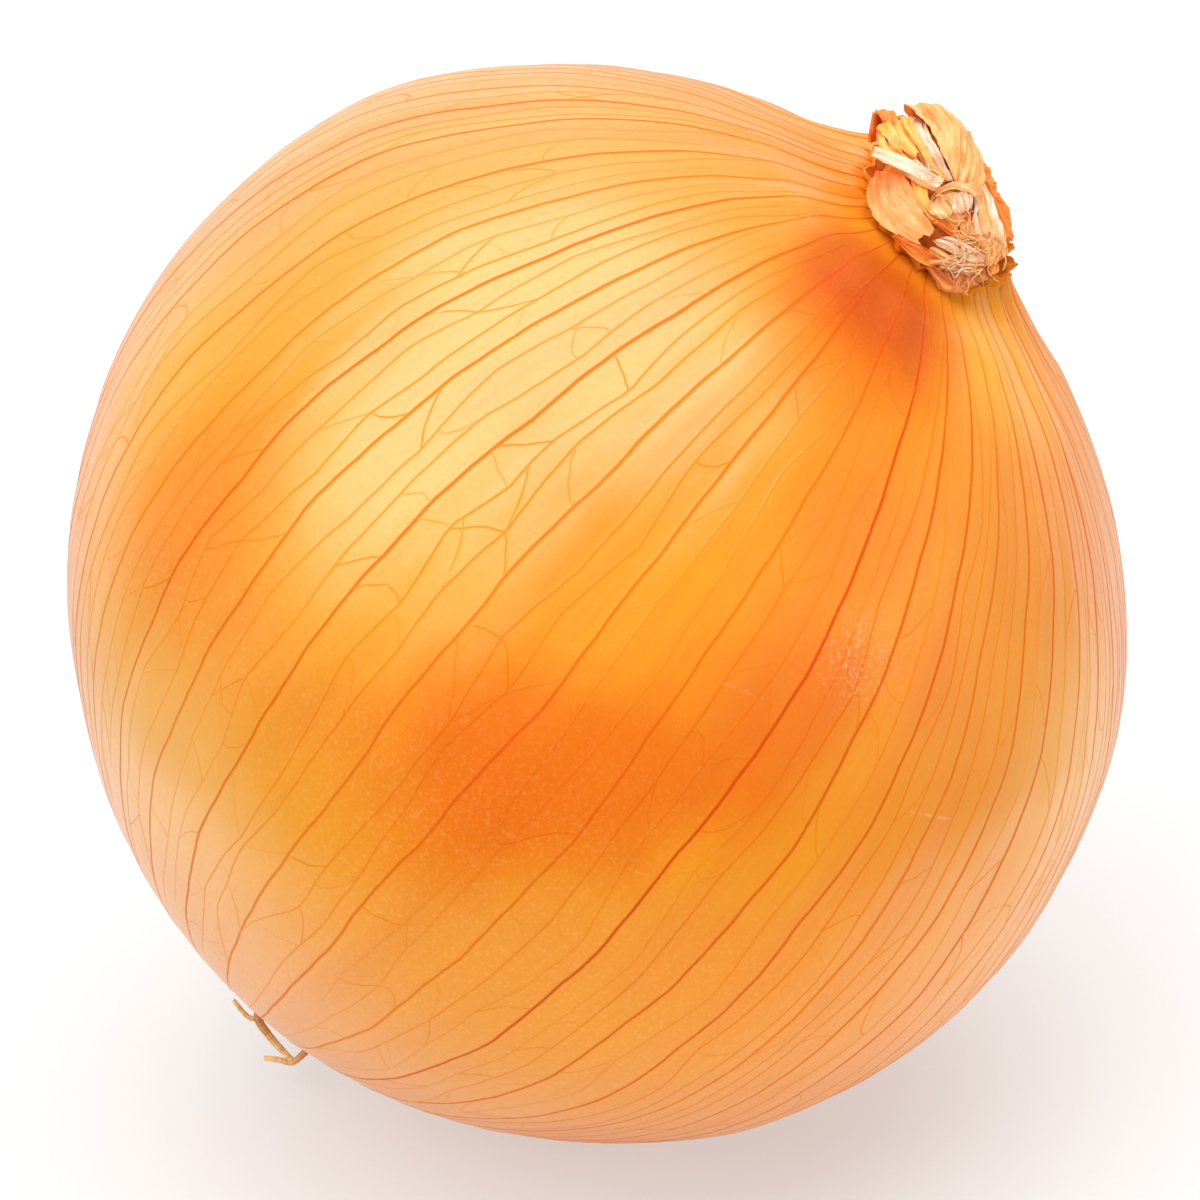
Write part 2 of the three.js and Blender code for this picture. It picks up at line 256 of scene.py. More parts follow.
class Sheet:
    """A node tree that is filled in by short calls."""

    def __init__(self, tree: bpy.types.NodeTree) -> None:
        """Takes the tree to fill in."""
        self.tree = tree

    def node(self, kind: str, settings: dict[str, Any] | None = None,
             values: dict[Any, Any] | None = None) -> bpy.types.Node:
        """Adds a node.

        Args:
            kind: The node's type.
            settings: Its own settings, which are set first.
            values: A value or a link for each named or numbered socket.

        Returns:
            The node.
        """
        node = self.tree.nodes.new(kind)
        for name, setting in (settings or {}).items():
            setattr(node, name, setting)
        self.feed_all(node, values or {})
        return node

    def feed_all(self, node: bpy.types.Node, values: dict[Any, Any]) -> None:
        """Feeds each named or numbered input of a node."""
        for name, value in values.items():
            self.feed(node.inputs[name], value)

    def feed(self, socket: bpy.types.NodeSocket, value: Any) -> None:
        """Links a socket to another, or sets its value.

        Args:
            socket: The input to feed.
            value: A Value, a socket or a plain value.
        """
        if isinstance(value, Value):
            self.tree.links.new(value.socket, socket)
        elif isinstance(value, bpy.types.NodeSocket):
            self.tree.links.new(value, socket)
        else:
            socket.default_value = value

    def out(self, node: bpy.types.Node, name: str | int = 0) -> Value:
        """Gives a node's output as a value."""
        return Value(self, node.outputs[name])

    def math(self, operation: str, *terms: Any) -> Value:
        """Adds a Math node and gives its result."""
        return self.out(self.node("ShaderNodeMath", {"operation": operation}, dict(enumerate(terms))))

    def vector(self, operation: str, *terms: Any) -> Value:
        """Adds a Vector Math node and gives its vector."""
        return self.out(self.node("ShaderNodeVectorMath", {"operation": operation}, dict(enumerate(terms))))

    def scaled(self, vector: Any, by: Any) -> Value:
        """Scales a vector by a number."""
        return self.out(self.node("ShaderNodeVectorMath", {"operation": "SCALE"}, {0: vector, "Scale": by}))

    def distance(self, one: Any, other: Any) -> Value:
        """Gives how far two places are apart."""
        apart = self.node("ShaderNodeVectorMath", {"operation": "DISTANCE"}, {0: one, 1: other})
        return self.out(apart, "Value")

    def parts(self, vector: Any) -> tuple[Value, Value, Value]:
        """Splits a vector into its three numbers."""
        split = self.node("ShaderNodeSeparateXYZ", values={0: vector})
        return self.out(split, 0), self.out(split, 1), self.out(split, 2)

    def joined(self, x: Any, y: Any, z: Any) -> Value:
        """Makes a vector of three numbers."""
        return self.out(self.node("ShaderNodeCombineXYZ", values={0: x, 1: y, 2: z}))

    def eased(self, value: Any, low: float, high: float, start: float = 0.0, end: float = 1.0) -> Value:
        """Eases a value between two limits.

        Args:
            value: What is eased.
            low: Where the change starts.
            high: Where it ends.
            start: The result up to low.
            end: The result from high on.

        Returns:
            The eased value.
        """
        settings = {"interpolation_type": "SMOOTHSTEP"}
        values = {"Value": value, "From Min": low, "From Max": high, "To Min": start, "To Max": end}
        return self.out(self.node("ShaderNodeMapRange", settings, values))

    def noise(self, vector: Any, scale: float, detail: float = 2.0, rough: float = 0.5,
              bend: float = 0.0) -> Value:
        """Gives cloudy noise from 0 to 1.

        Args:
            vector: Where it is read.
            scale: How fine it is.
            detail: How many finer levels it has.
            rough: How strong the finer levels are.
            bend: How far the noise bends itself.

        Returns:
            The noise.
        """
        values = {"Vector": vector, "Scale": scale, "Detail": detail, "Roughness": rough, "Distortion": bend}
        return self.out(self.node("ShaderNodeTexNoise", {"noise_dimensions": "3D"}, values))

    def blend(self, share: Any, first: Any, second: Any, how: str = "MIX") -> Value:
        """Mixes two colours.

        Args:
            share: How much of the second.
            first: The first colour.
            second: The second colour.
            how: The way of mixing.

        Returns:
            The mixed colour.
        """
        settings = {"data_type": "RGBA", "blend_type": how, "clamp_factor": True}
        colours = [(*colour, 1.0) if isinstance(colour, tuple) else colour for colour in (first, second)]
        return self.out(self.node("ShaderNodeMix", settings, {0: share, 6: colours[0], 7: colours[1]}), 2)


class Tree(Sheet):
    """A Geometry Nodes tree with named inputs."""

    def __init__(self, name: str) -> None:
        """Starts a tree with a geometry input and output."""
        super().__init__(bpy.data.node_groups.new(name, "GeometryNodeTree"))
        for way in ("INPUT", "OUTPUT"):
            self.tree.interface.new_socket("Geometry", in_out=way, socket_type="NodeSocketGeometry")
        self.entry = self.node("NodeGroupInput")
        self.exit = self.node("NodeGroupOutput")

    def given(self, name: str, kind: str = "Float") -> Value:
        """Adds a named input and gives its value.

        Args:
            name: The input's name.
            kind: Its kind, such as Float, Int, Object or Material.

        Returns:
            The input's value in the tree.
        """
        self.tree.interface.new_socket(name, in_out="INPUT", socket_type="NodeSocket" + kind)
        return self.out(self.entry, name)

    def attribute(self, name: str, kind: str = "FLOAT") -> Value:
        """Reads a named attribute."""
        return self.out(self.node("GeometryNodeInputNamedAttribute", {"data_type": kind}, {"Name": name}))

    def stored(self, geometry: Any, name: str, value: Any, kind: str = "FLOAT",
               domain: str = "POINT") -> Value:
        """Stores a value on the geometry under a name.

        Args:
            geometry: The geometry.
            name: The attribute's name.
            value: What is stored.
            kind: The kind of value.
            domain: What it is stored on.

        Returns:
            The geometry with the attribute.
        """
        settings = {"data_type": kind, "domain": domain}
        return self.out(self.node("GeometryNodeStoreNamedAttribute", settings,
                                  {"Geometry": geometry, "Name": name, "Value": value}))

    def turned(self, vector: Any, axis: Point, angle: Any, centre: Point = ORIGIN) -> Value:
        """Turns a vector about an axis through a centre."""
        return self.out(self.node("ShaderNodeVectorRotate", {"rotation_type": "AXIS_ANGLE"}, {
            "Vector": vector, "Center": centre, "Axis": axis, "Angle": angle}))

    def placed(self, geometry: Any, position: Any) -> Value:
        """Moves the geometry's points to a position."""
        moved = self.node("GeometryNodeSetPosition", values={"Geometry": geometry, "Position": position})
        return self.out(moved)

    def close(self, geometry: Any) -> None:
        """Ends the tree: realized, smooth where it bends little, and in the given material.

        Args:
            geometry: The geometry that the tree has made.
        """
        flat = self.out(self.node("GeometryNodeInputMeshEdgeAngle"), "Unsigned Angle")
        gentle = self.math("LESS_THAN", flat, SMOOTH_BELOW)
        smooth = self.node("GeometryNodeSetShadeSmooth", {"domain": "EDGE"},
                           {"Geometry": geometry, "Shade Smooth": gentle})
        smooth = self.node("GeometryNodeSetShadeSmooth", values={"Geometry": smooth.outputs[0]})
        real = self.node("GeometryNodeRealizeInstances", values={"Geometry": smooth.outputs[0]})
        dressed = self.node("GeometryNodeSetMaterial",
                            values={"Geometry": real.outputs[0],
                                    "Material": self.given("Material", "Material")})
        self.feed(self.exit.inputs[0], dressed.outputs[0])

    def grown(self, piece: bpy.types.Object, **inputs: Any) -> bpy.types.Object:
        """Runs the tree on an object and keeps the result as a plain mesh.

        Args:
            piece: The object whose mesh the tree starts from.
            **inputs: A value for each named input.

        Returns:
            The same object with its finished mesh.
        """
        modifier = piece.modifiers.new(self.tree.name, "NODES")
        modifier.node_group = self.tree
        for item in self.tree.interface.items_tree:
            if item.in_out == "INPUT" and item.name in inputs:
                modifier[item.identifier] = inputs[item.name]
        evaluated = piece.evaluated_get(bpy.context.evaluated_depsgraph_get())
        mesh = bpy.data.meshes.new_from_object(evaluated)
        piece.modifiers.remove(modifier)
        rough, piece.data = piece.data, mesh
        bpy.data.meshes.remove(rough)
        mesh.name = piece.name
        return piece


def new_piece(name: str, points: np.ndarray, edges: Sequence[Any] = (), faces: Sequence[Any] = (),
              attributes: dict[str, np.ndarray] | None = None) -> bpy.types.Object:
    """Makes an object of points, edges and faces.

    Args:
        name: The object's name.
        points: A row for each point.
        edges: Pairs of point numbers.
        faces: Rings of point numbers.
        attributes: A number, a vector or a colour for each point, by name.

    Returns:
        The object, in the scene.
    """
    mesh = bpy.data.meshes.new(name)
    mesh.from_pydata(np.asarray(points, float).tolist(), [tuple(edge) for edge in edges],
                     [tuple(face) for face in faces])
    for label, numbers in (attributes or {}).items():
        kind, part = {1: ("FLOAT", "value"), 3: ("FLOAT_VECTOR", "vector"), 4: ("FLOAT_COLOR", "color")}[
            1 if np.ndim(numbers) == 1 else np.shape(numbers)[1]]
        stored = mesh.attributes.new(label, kind, "POINT").data
        stored.foreach_set(part, np.asarray(numbers, np.float32).ravel())
    piece = bpy.data.objects.new(name, mesh)
    bpy.context.scene.collection.objects.link(piece)
    return piece


def dress(piece: bpy.types.Object, slot: str, *nodes: str) -> bpy.types.Object:
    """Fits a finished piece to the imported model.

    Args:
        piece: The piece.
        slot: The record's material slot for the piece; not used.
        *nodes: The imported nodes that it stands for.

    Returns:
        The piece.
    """
    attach(piece, "root")
    if nodes:
        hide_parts(*nodes)
    LOG.info("%s: %d faces", piece.name, len(piece.data.polygons))
    return piece


class Finish:
    """What every finish shares: a material with a Principled shader."""

    name: str = "finish"

    def start(self) -> tuple[bpy.types.Material, Sheet, bpy.types.Node]:
        """Makes an empty material.

        Returns:
            The material, the sheet of its tree, and its Principled node.
        """
        material = bpy.data.materials.new(self.name)
        material.use_nodes = True
        material.node_tree.nodes.clear()
        sheet = Sheet(material.node_tree)
        surface = sheet.node("ShaderNodeBsdfPrincipled")
        sheet.node("ShaderNodeOutputMaterial", values={"Surface": surface.outputs[0]})
        return material, sheet, surface

    @staticmethod
    def own_place(sheet: Sheet) -> Value:
        """Gives the place in the onion's own frame in millimetres.

        Args:
            sheet: The material's sheet.

        Returns:
            The place.
        """
        back = PLACE.turned(-np.array([PLACE.centre]), np.array([0.0, 1.0, 0.0]), -PLACE.lean)[0]
        room = sheet.node("ShaderNodeTexCoord").outputs["Object"]
        return sheet.out(sheet.node("ShaderNodeMapping", {"vector_type": "POINT"}, {
            "Vector": room, "Location": tuple(back), "Rotation": (0.0, -PLACE.lean, 0.0),
            "Scale": (1 / MM,) * 3}))


@dataclass(frozen=True)
class Patch:
    """A soft patch of another colour on the skin."""

    centre: Point
    reach: float
    colour: Colour
    share: float
    stretch: float = 1.0
    broken: bool = False
    core: float = 0.25
    fade: float = 1.3
    ragged: float = 0.8


@dataclass(frozen=True)
class Scratch:
    """A fine pale scratch on the skin from one place to another."""

    start: Point
    end: Point
    width: float
    share: float


AMBER: Colour = (0.82, 0.265, 0.009)
# Paler honey: random lighter tone of the skin, and also, in the first three patches, partly a painted
# highlight.
HONEY_AND_HIGHLIGHT: Colour = (0.86, 0.375, 0.018)
DEEP: Colour = (0.76, 0.125, 0.0015)
# Dark red at the base of the neck: partly the skin's own colour and partly painted shade in the hollow under
# the neck.
EMBER_AND_NECK_SHADE: Colour = (0.50, 0.05, 0.0008)
# Paler peach: partly a dusty bloom and partly painted reflection of the pale floor on the lower side of the
# bulb.
BLOOM_AND_FLOOR_REFLECTION: Colour = (0.84, 0.36, 0.045)
SCUFF: Colour = (0.90, 0.56, 0.34)
# Pale dust colour: the skin's own dusty speckles, and also painted reflection of the pale backdrop in two
# patches at the limbs.
DUST_AND_LIMB_REFLECTION: Colour = (0.93, 0.50, 0.15)


@dataclass(frozen=True)
class SkinFinish(Finish):
    """Dry amber skin over the bulb, and the same skin where a vein darkens it."""

    name: str = "onion_skin"
    veined: bool = False
    neck: Colour = (0.68, 0.20, 0.008)
    vein: Colour = (0.60, 0.055, 0.002)
    fibre_rates: tuple[float, float] = (46.0, 0.055)
    stain_rates: tuple[float, float] = (9.0, 0.02)
    clouds: float = 0.3
    broad_streaks: float = 0.18
    fine_streaks: float = 0.16
    gathered: tuple[float, float] = (0.3, 0.3)
    dust: tuple[float, float] = (0.26, 0.06)
    coat: tuple[float, float] = (0.97, 0.8)
    neck_coat: float = 0.6
    under_coat: float = 0.75
    vein_coat: float = 0.1
    roughness: tuple[float, float] = (0.42, 0.5)
    relief: float = 0.0001
    dull_spots: tuple[tuple[Point, float, float, float], ...] = (
        ((-3.5, -15.5, 40.0), 4.0, 15.0, 0.1),
        ((0.0, -45.0, -1.0), 12.0, 34.0, 0.22),
        ((-38.0, -24.0, 1.0), 4.0, 17.0, 0.6))
    patches: tuple[Patch, ...] = (
        # The first three honey patches lie on the broad highlight and its lobed lower edge: partly paler
        # skin, partly painted highlight.
        Patch((-26.0, -27.0, 20.0), 22.0, HONEY_AND_HIGHLIGHT, 0.28),
        Patch((-9.0, -22.0, 36.0), 9.0, HONEY_AND_HIGHLIGHT, 0.55),
        Patch((-27.0, -34.0, 8.0), 12.0, HONEY_AND_HIGHLIGHT, 0.7),
        Patch((9.0, -10.0, 41.0), 9.0, HONEY_AND_HIGHLIGHT, 0.7),
        # These three paler patches on the lower side are partly a dusty bloom and partly painted reflection
        # of the pale floor.
        Patch((8.0, -38.0, -20.0), 20.0, BLOOM_AND_FLOOR_REFLECTION, 0.4),
        Patch((33.0, -27.0, 8.0), 14.0, BLOOM_AND_FLOOR_REFLECTION, 0.5),
        Patch((-17.0, -25.0, -30.0), 15.0, BLOOM_AND_FLOOR_REFLECTION, 0.5),
        Patch((-33.0, -22.0, -17.0), 15.0, HONEY_AND_HIGHLIGHT, 0.75),
        Patch((-40.0, -12.0, -2.0), 13.0, HONEY_AND_HIGHLIGHT, 0.55),
        Patch((-20.0, -34.0, -20.0), 13.0, HONEY_AND_HIGHLIGHT, 0.6),
        Patch((30.0, -20.0, 20.0), 12.0, HONEY_AND_HIGHLIGHT, 0.5),
        # These two pale patches, at the lower left limb and at the right limb, are painted reflection of the
        # pale backdrop.
        Patch((-26.5, -27.5, -22.0), 12.0, DUST_AND_LIMB_REFLECTION, 0.55),
        Patch((30.5, -23.5, 23.0), 10.0, DUST_AND_LIMB_REFLECTION, 0.5),
        Patch((-12.0, -43.5, 0.0), 9.5, DEEP, 0.75, 1.2),
        Patch((-4.0, -45.0, 6.0), 9.5, DEEP, 0.75),
        Patch((3.0, -43.5, 13.0), 8.5, DEEP, 0.75),
        Patch((4.5, -39.0, 21.0), 7.0, DEEP, 0.65),
        Patch((13.0, -34.0, 26.0), 6.0, DEEP, 0.35),
        Patch((-37.0, -26.0, -4.0), 9.0, DEEP, 0.42, 1.4),
        Patch((3.0, -32.0, 30.0), 7.0, DEEP, 0.35),
        Patch((22.0, -29.0, -26.0), 9.0, DEEP, 0.3),
        Patch((-6.5, -20.5, 37.0), 9.0, DEEP, 0.6),
        # Partly painted shade: this dark red patch fills the hollow at the base of the neck.
        Patch((-3.9, -14.5, 40.8), 9.0, EMBER_AND_NECK_SHADE, 0.82),
        Patch((6.5, -37.0, 23.5), 4.0, SCUFF, 0.5, broken=True))
    scratches: tuple[Scratch, ...] = (
        Scratch((-1.7, -41.8, 17.3), (1.9, -41.3, 18.0), 0.2, 0.6),
        Scratch((0.8, -45.4, 1.7), (4.4, -45.1, 2.9), 0.18, 0.55),
        Scratch((17.6, -38.2, 16.1), (22.4, -35.2, 16.7), 0.18, 0.5))

    def spotted(self, sheet: Sheet, place: Value, cloud: Value, colour: Value) -> Value:
        """Lays the soft patches, among them painted highlight, painted reflection and painted shade, and the
        scratches over the skin's colour.

        Args:
            sheet: The material's sheet.
            place: The place in the onion's frame.
            cloud: Noise that makes the patches' edges ragged.
            colour: The colour under them.

        Returns:
            The colour with them.
        """
        for patch in self.patches:
            away = sheet.vector("SUBTRACT", place, patch.centre)
            away = sheet.vector("MULTIPLY", away, (1.0, 1.0, 1.0 / patch.stretch))
            far = sheet.distance(away, ORIGIN) + (cloud - 0.5) * (patch.reach * patch.ragged)
            near = sheet.eased(far, patch.reach * patch.core, patch.reach * patch.fade, 1.0, 0.0)
            if patch.broken:
                near = near * sheet.eased(sheet.noise(place, 2.6, 4.0, 0.75), 0.5, 0.66)
            colour = sheet.blend(near * patch.share, colour, patch.colour)
        broken = sheet.eased(sheet.noise(place, 1.9, 2.0), 0.42, 0.62)
        for scratch in self.scratches:
            run = np.array(scratch.end) - np.array(scratch.start)
            away = sheet.vector("SUBTRACT", place, scratch.start)
            dot = sheet.node("ShaderNodeVectorMath", {"operation": "DOT_PRODUCT"},
                             {0: away, 1: tuple(run / (run @ run))})
            share = sheet.node("ShaderNodeClamp", values={"Value": dot.outputs["Value"]})
            foot = sheet.scaled(tuple(run), share.outputs[0])
            near = sheet.eased(sheet.distance(away, foot), 0.0, scratch.width, 1.0, 0.0)
            colour = sheet.blend(near * broken * scratch.share, colour, SCUFF)
        return colour

    def colour(self, sheet: Sheet, place: Value) -> Value:
        """Builds the skin's colour from the place on the bulb.

        Args:
            sheet: The material's sheet.
            place: The place in the onion's frame.

        Returns:
            The colour.
        """
        x, y, z = sheet.parts(place)
        radius = sheet.math("SQRT", x * x + y * y)
        fibres, broad = (sheet.joined(x / radius * round_rate, y / radius * round_rate, z * along_rate)
                         for round_rate, along_rate in (self.fibre_rates, self.stain_rates))
        cloud = sheet.noise(place, 0.07, 3.0, 0.5, 0.4)
        colour = sheet.blend(sheet.eased(cloud, 0.35, 0.7) * self.clouds, AMBER, HONEY_AND_HIGHLIGHT)
        stain = sheet.eased(sheet.noise(broad, 1.0, 2.0), 0.45, 0.75)
        colour = sheet.blend(stain * self.broad_streaks, colour, DEEP)
        streak = sheet.eased(sheet.noise(fibres, 1.0, 3.0, 0.6), 0.42, 0.72)
        colour = sheet.blend(streak * self.fine_streaks, colour, DEEP)
        gathered = sheet.eased(z, 26.0, 45.0)
        folds = sheet.eased(sheet.noise(fibres, 0.55, 2.0), 0.4, 0.62)
        colour = sheet.blend(gathered * (self.gathered[0] + folds * self.gathered[1]), colour, self.neck)
        colour = self.spotted(sheet, place, cloud, colour)
        grain = sheet.noise(place, 2.6, 4.0, 0.7)
        dusty = sheet.eased(z, -12.0, 18.0, *self.dust)
        return sheet.blend(sheet.eased(grain, 0.48, 0.7) * dusty, colour, DUST_AND_LIMB_REFLECTION)

    def material(self) -> bpy.types.Material:
        """Builds the material.

        Returns:
            The material.
        """
        material, sheet, surface = self.start()
        place = self.own_place(sheet)
        colour = self.colour(sheet, place)
        grain = sheet.noise(place, 1.7, 4.0, 0.65)
        x, _, z = sheet.parts(place)
        down = x * math.sin(PLACE.lean) - z * math.cos(PLACE.lean)
        gloss = sheet.eased(grain, 0.35, 0.75, *self.coat) * sheet.eased(z, 32.0, 41.0, 1.0, self.neck_coat)
        gloss = gloss * sheet.eased(down, 8.0, 36.0, 1.0, self.under_coat)
        for centre, start, end, share in self.dull_spots:
            gloss = gloss * sheet.eased(sheet.distance(place, centre), start, end, share, 1.0)
        if self.veined:
            strength = sheet.out(sheet.node("ShaderNodeAttribute", {"attribute_name": "vein"}), "Fac")
            colour = sheet.blend(sheet.eased(strength, 0.0, 1.0), colour, self.vein)
            gloss = gloss * sheet.eased(strength, 0.0, 0.35, 1.0, self.vein_coat)
        bump = sheet.node("ShaderNodeBump", values={
            "Strength": 0.2, "Distance": self.relief, "Height": grain + sheet.noise(place, 0.5, 1.0) * 1.4})
        sheet.feed_all(surface, {
            "Base Color": colour, "Normal": bump.outputs[0], "IOR": 1.18,
            "Roughness": sheet.eased(grain, 0.3, 0.7, *self.roughness),
            "Coat Weight": gloss, "Coat IOR": 1.8, "Coat Roughness": 0.29})
        return material


class VeinRank(Enum):
    """Kinds of vein, each with its full width in millimetres and its strength."""

    MAIN = (0.5, 0.72)
    RED = (0.52, 0.95)
    SECOND = (0.36, 0.4)
    LINK = (0.3, 0.31)

    @property
    def width(self) -> float:
        """Full width."""
        return self.value[0]

    @property
    def strength(self) -> float:
        """How dark it is."""
        return self.value[1]


@dataclass
class Skin:
    """The bulb's outer skin, from the root seat to the torn rim of the neck."""

    outline: tuple[tuple[float, float], ...] = (
        (8.4, -43.2), (15.05, -41.3), (28.1, -33.5), (40.5, -18.9), (45.4, 0.0), (41.2, 19.2),
        (31.3, 31.3), (21.8, 37.8), (14.8, 40.7), (9.7, 42.9), (7.9, 44.5), (8.0, 46.1))
    columns: int = 352
    outline_rows: int = 236
    seat_height: float = -42.35
    mouth_radii: tuple[float, ...] = (7.6, 8.2, 7.1, 6.1, 6.7, 7.6, 6.1, 4.9)
    rim_lifts: tuple[float, ...] = (-0.5, -0.8, -1.2, -1.6, -1.6, -1.1, -1.1, -1.5)
    rim_teeth: tuple[float, ...] = (1.0, 0.9, 0.45, 0.25, 0.25, 0.4, 0.4, 0.6)
    mouth_mean: float = 8.0
    rim_tooth: float = 0.3
    rim_paper: float = 0.32
    cup_depth: float = 2.3
    cup_radius: float = 6.9
    pleats: int = 20
    pleat_depth: float = 0.42
    swell_depth: float = 0.28
    neck_heights: tuple[float, float] = (40.5, 45.5)
    rim_heights: tuple[float, float] = (43.6, 46.0)
    middle_radii: tuple[float, float] = (9.0, 38.0)
    gather_radius: float = 27.0
    gather_span: float = 18.5
    neck_groove_radius: float = 24.0
    neck_groove_span: float = 14.0
    groove_depths: tuple[float, float, float] = (0.02, 0.1, 0.16)
    fray_depth: float = 0.16
    ripple_depth: float = 0.7
    ripple_sunk: float = 0.17
    wall_arc: float = 0.01
    back_bearings: tuple[float, float] = (7.0, 9.4)
    last_gap: float = 13.0
    seed: int = 11
    main_bearings: tuple[float, ...] = (
        -53.0, -44.0, -35.5, -27.0, -18.0, -7.5, 2.5, 13.0, 23.0, 32.0, 39.0, 46.5, 54.5, 61.0, 69.0)
    bearing_start: float = -107.4
    red_bearing: float = 23.0

    def vein_bearings(self) -> list[tuple[float, VeinRank]]:
        """Lists the main veins round the bulb.

        Returns:
            The bearing in radians and the rank of each, in order.
        """
        draw = random.Random(self.seed)
        seen = list(self.main_bearings)
        place = seen[-1]
        while place < seen[0] + 360 - self.last_gap:
            place += draw.uniform(*self.back_bearings)
            seen.append(place)
        return [(math.radians(bearing + self.bearing_start),
                 VeinRank.RED if bearing == self.red_bearing else VeinRank.MAIN) for bearing in seen]

    def rails(self) -> tuple[dict[str, np.ndarray], int]:
        """Works out what changes from row to row and from column to column.

        Returns:
            Named lists of numbers, and how many rows there are.
        """
        curve = spline(self.outline, self.outline_rows)
        top = PLACE.mouth_height
        seat = [(0.0, self.seat_height), (4.0, self.seat_height), (7.3, self.seat_height)]
        paper = self.mouth_mean - self.rim_paper
        inside = [(paper + 0.14, top + 0.02), (paper, top - 0.1), (self.cup_radius, top - self.cup_depth),
                  (self.cup_radius / 2, top - self.cup_depth), (0.0, top - self.cup_depth)]
        radius, height = np.vstack([seat, curve, inside]).T
        rows = len(radius)
        arc = np.concatenate([np.arange(-len(seat), 0) * self.wall_arc, np.linspace(0, 1, len(curve)),
                              1 + np.arange(1, len(inside) + 1) * self.wall_arc])
        outer = np.arange(rows) < len(seat) + len(curve) + 2
        near_neck = smoothstep(height, *self.neck_heights)
        lift = smoothstep(height, *self.rim_heights) * outer
        angles = np.linspace(0, TURN, self.columns + 1)
        mouth = PLACE.mouth_bearing - angles
        pleat = np.cos(self.pleats * angles + 1.1 * np.sin(3 * angles) + 0.8 * np.sin(5 * angles + 1))
        swell = 0.5 * np.sin(7 * angles + 0.6) + 0.3 * np.sin(11 * angles + 2.1) + 0.2 * np.sin(4 * angles)
        veins = np.sort(np.array([bearing for bearing, _ in self.vein_bearings()]) % TURN)
        ring = np.concatenate([[veins[-1] - TURN], veins, [veins[0] + TURN]])
        after = np.searchsorted(ring, angles, side="right").clip(1, len(ring) - 1)
        share = (angles - ring[after - 1]) / (ring[after] - ring[after - 1])
        tooth = 0.6 * pleat + 0.4 * np.sin(13 * angles + 2)
        draw = random.Random(self.seed + 1)
        fray = Wobble(draw, TURN / 23, 5)
        ragged = around(self.rim_teeth, mouth)
        lift_line = around(self.rim_lifts, mouth) + self.rim_tooth * tooth * ragged
        columns_data = {
            "shape": around(self.mouth_radii, mouth) / self.mouth_mean,
            "rim": lift_line + self.fray_depth * ragged * (fray(angles) + np.sin(4 * math.pi * share)),
            "pleat": pleat, "swell": swell, "groove": np.sqrt(np.sin(math.pi * share)) - 0.7}
        gathered = smoothstep(self.gather_radius - radius, 0, self.gather_span)
        grooved = smoothstep(self.neck_groove_radius - radius, 0, self.neck_groove_span)
        everywhere, at_root, at_neck = self.groove_depths
        rows_data = {
            "radius": radius, "height": height, "arc": arc, "lift": lift,
            "tip": np.where(outer, near_neck, 1.0),
            "gather": gathered * (height > 0) * outer,
            "middle": smoothstep(radius, *self.middle_radii),
            "groove_depth": everywhere + outer * (at_root * (gathered * (height < 0))
                                                  + at_neck * grooved * (height > 0))}
        return {**rows_data, **columns_data}, rows

    def tree(self, rows: int) -> Tree:
        """Builds the rule that raises the skin from its rails.

        Args:
            rows: How many rows the rails have.

        Returns:
            The tree.
        """
        tree = Tree("skin_shell")
        rails = tree.out(tree.entry, 0)
        columns, tip_angle, lean = tree.given("Columns", "Int"), tree.given("Tip"), tree.given("Lean")
        grid = tree.node("GeometryNodeMeshGrid", values={
            "Size X": 1.0, "Size Y": 1.0, "Vertices X": columns + 1.0, "Vertices Y": rows})
        x, y, _ = tree.parts(tree.out(tree.node("GeometryNodeInputPosition")))
        turn = x + 0.5
        column = tree.math("ROUND", turn * columns)
        row = tree.math("ROUND", (y + 0.5) * (rows - 1.0))

        def rail(name: str, index: Value) -> Value:
            """Reads a named rail at a row or column."""
            return tree.out(tree.node("GeometryNodeSampleIndex", {"data_type": "FLOAT"}, {
                "Geometry": rails, "Value": tree.attribute(name), "Index": index}))

        angle = turn * TURN
        held = tree.stored(grid.outputs["Mesh"], "turn", turn)
        held = tree.stored(held, "arc", rail("arc", row))
        round_place = tree.joined(tree.math("COSINE", angle) * 5.0, tree.math("SINE", angle) * 5.0,
                                  rail("height", row) * 0.035)
        ripple = (tree.noise(round_place, 1.6, 3.0) - 0.5) * self.ripple_depth - self.ripple_sunk
        widened = rail("radius", row) * (1.0 + (rail("shape", column) - 1.0) * rail("tip", row))
        widened = widened + self.pleat_depth * rail("gather", row) * rail("pleat", column)
        widened = widened + self.swell_depth * rail("middle", row) * rail("swell", column)
        widened = widened + rail("groove_depth", row) * rail("groove", column) + ripple * rail("middle", row)
        widened = tree.math("MULTIPLY", widened, tree.math("GREATER_THAN", rail("radius", row), 0.001))
        high = rail("height", row)
        point = tree.joined(widened * tree.math("COSINE", angle) + high * PLACE.lopsided[0],
                            widened * tree.math("SINE", angle) + high * PLACE.lopsided[1],
                            high + rail("rim", column) * rail("lift", row))
        tip = rail("tip", row)
        point = tree.turned(point, tuple(PLACE.across), tip * tip_angle, tuple(PLACE.pivot))
        point = tree.vector("ADD", point, tree.scaled(tuple(PLACE.across * PLACE.sidestep), tip))
        point = tree.turned(point, (0.0, 1.0, 0.0), lean)
        point = tree.vector("ADD", point, PLACE.centre)
        point = tree.vector("MULTIPLY", point, (MM, MM, MM))
        point = tree.vector("MAXIMUM", point, ABOVE_FLOOR)
        shell = tree.placed(held, point)
        flat = tree.joined(tree.attribute("turn"), tree.attribute("arc"), 0.0)
        shell = tree.stored(shell, "skin_map", flat, "FLOAT2", "CORNER")
        closed = tree.node("GeometryNodeMergeByDistance", values={"Geometry": shell, "Distance": 0.004 * MM})
        tree.close(closed.outputs[0])
        return tree

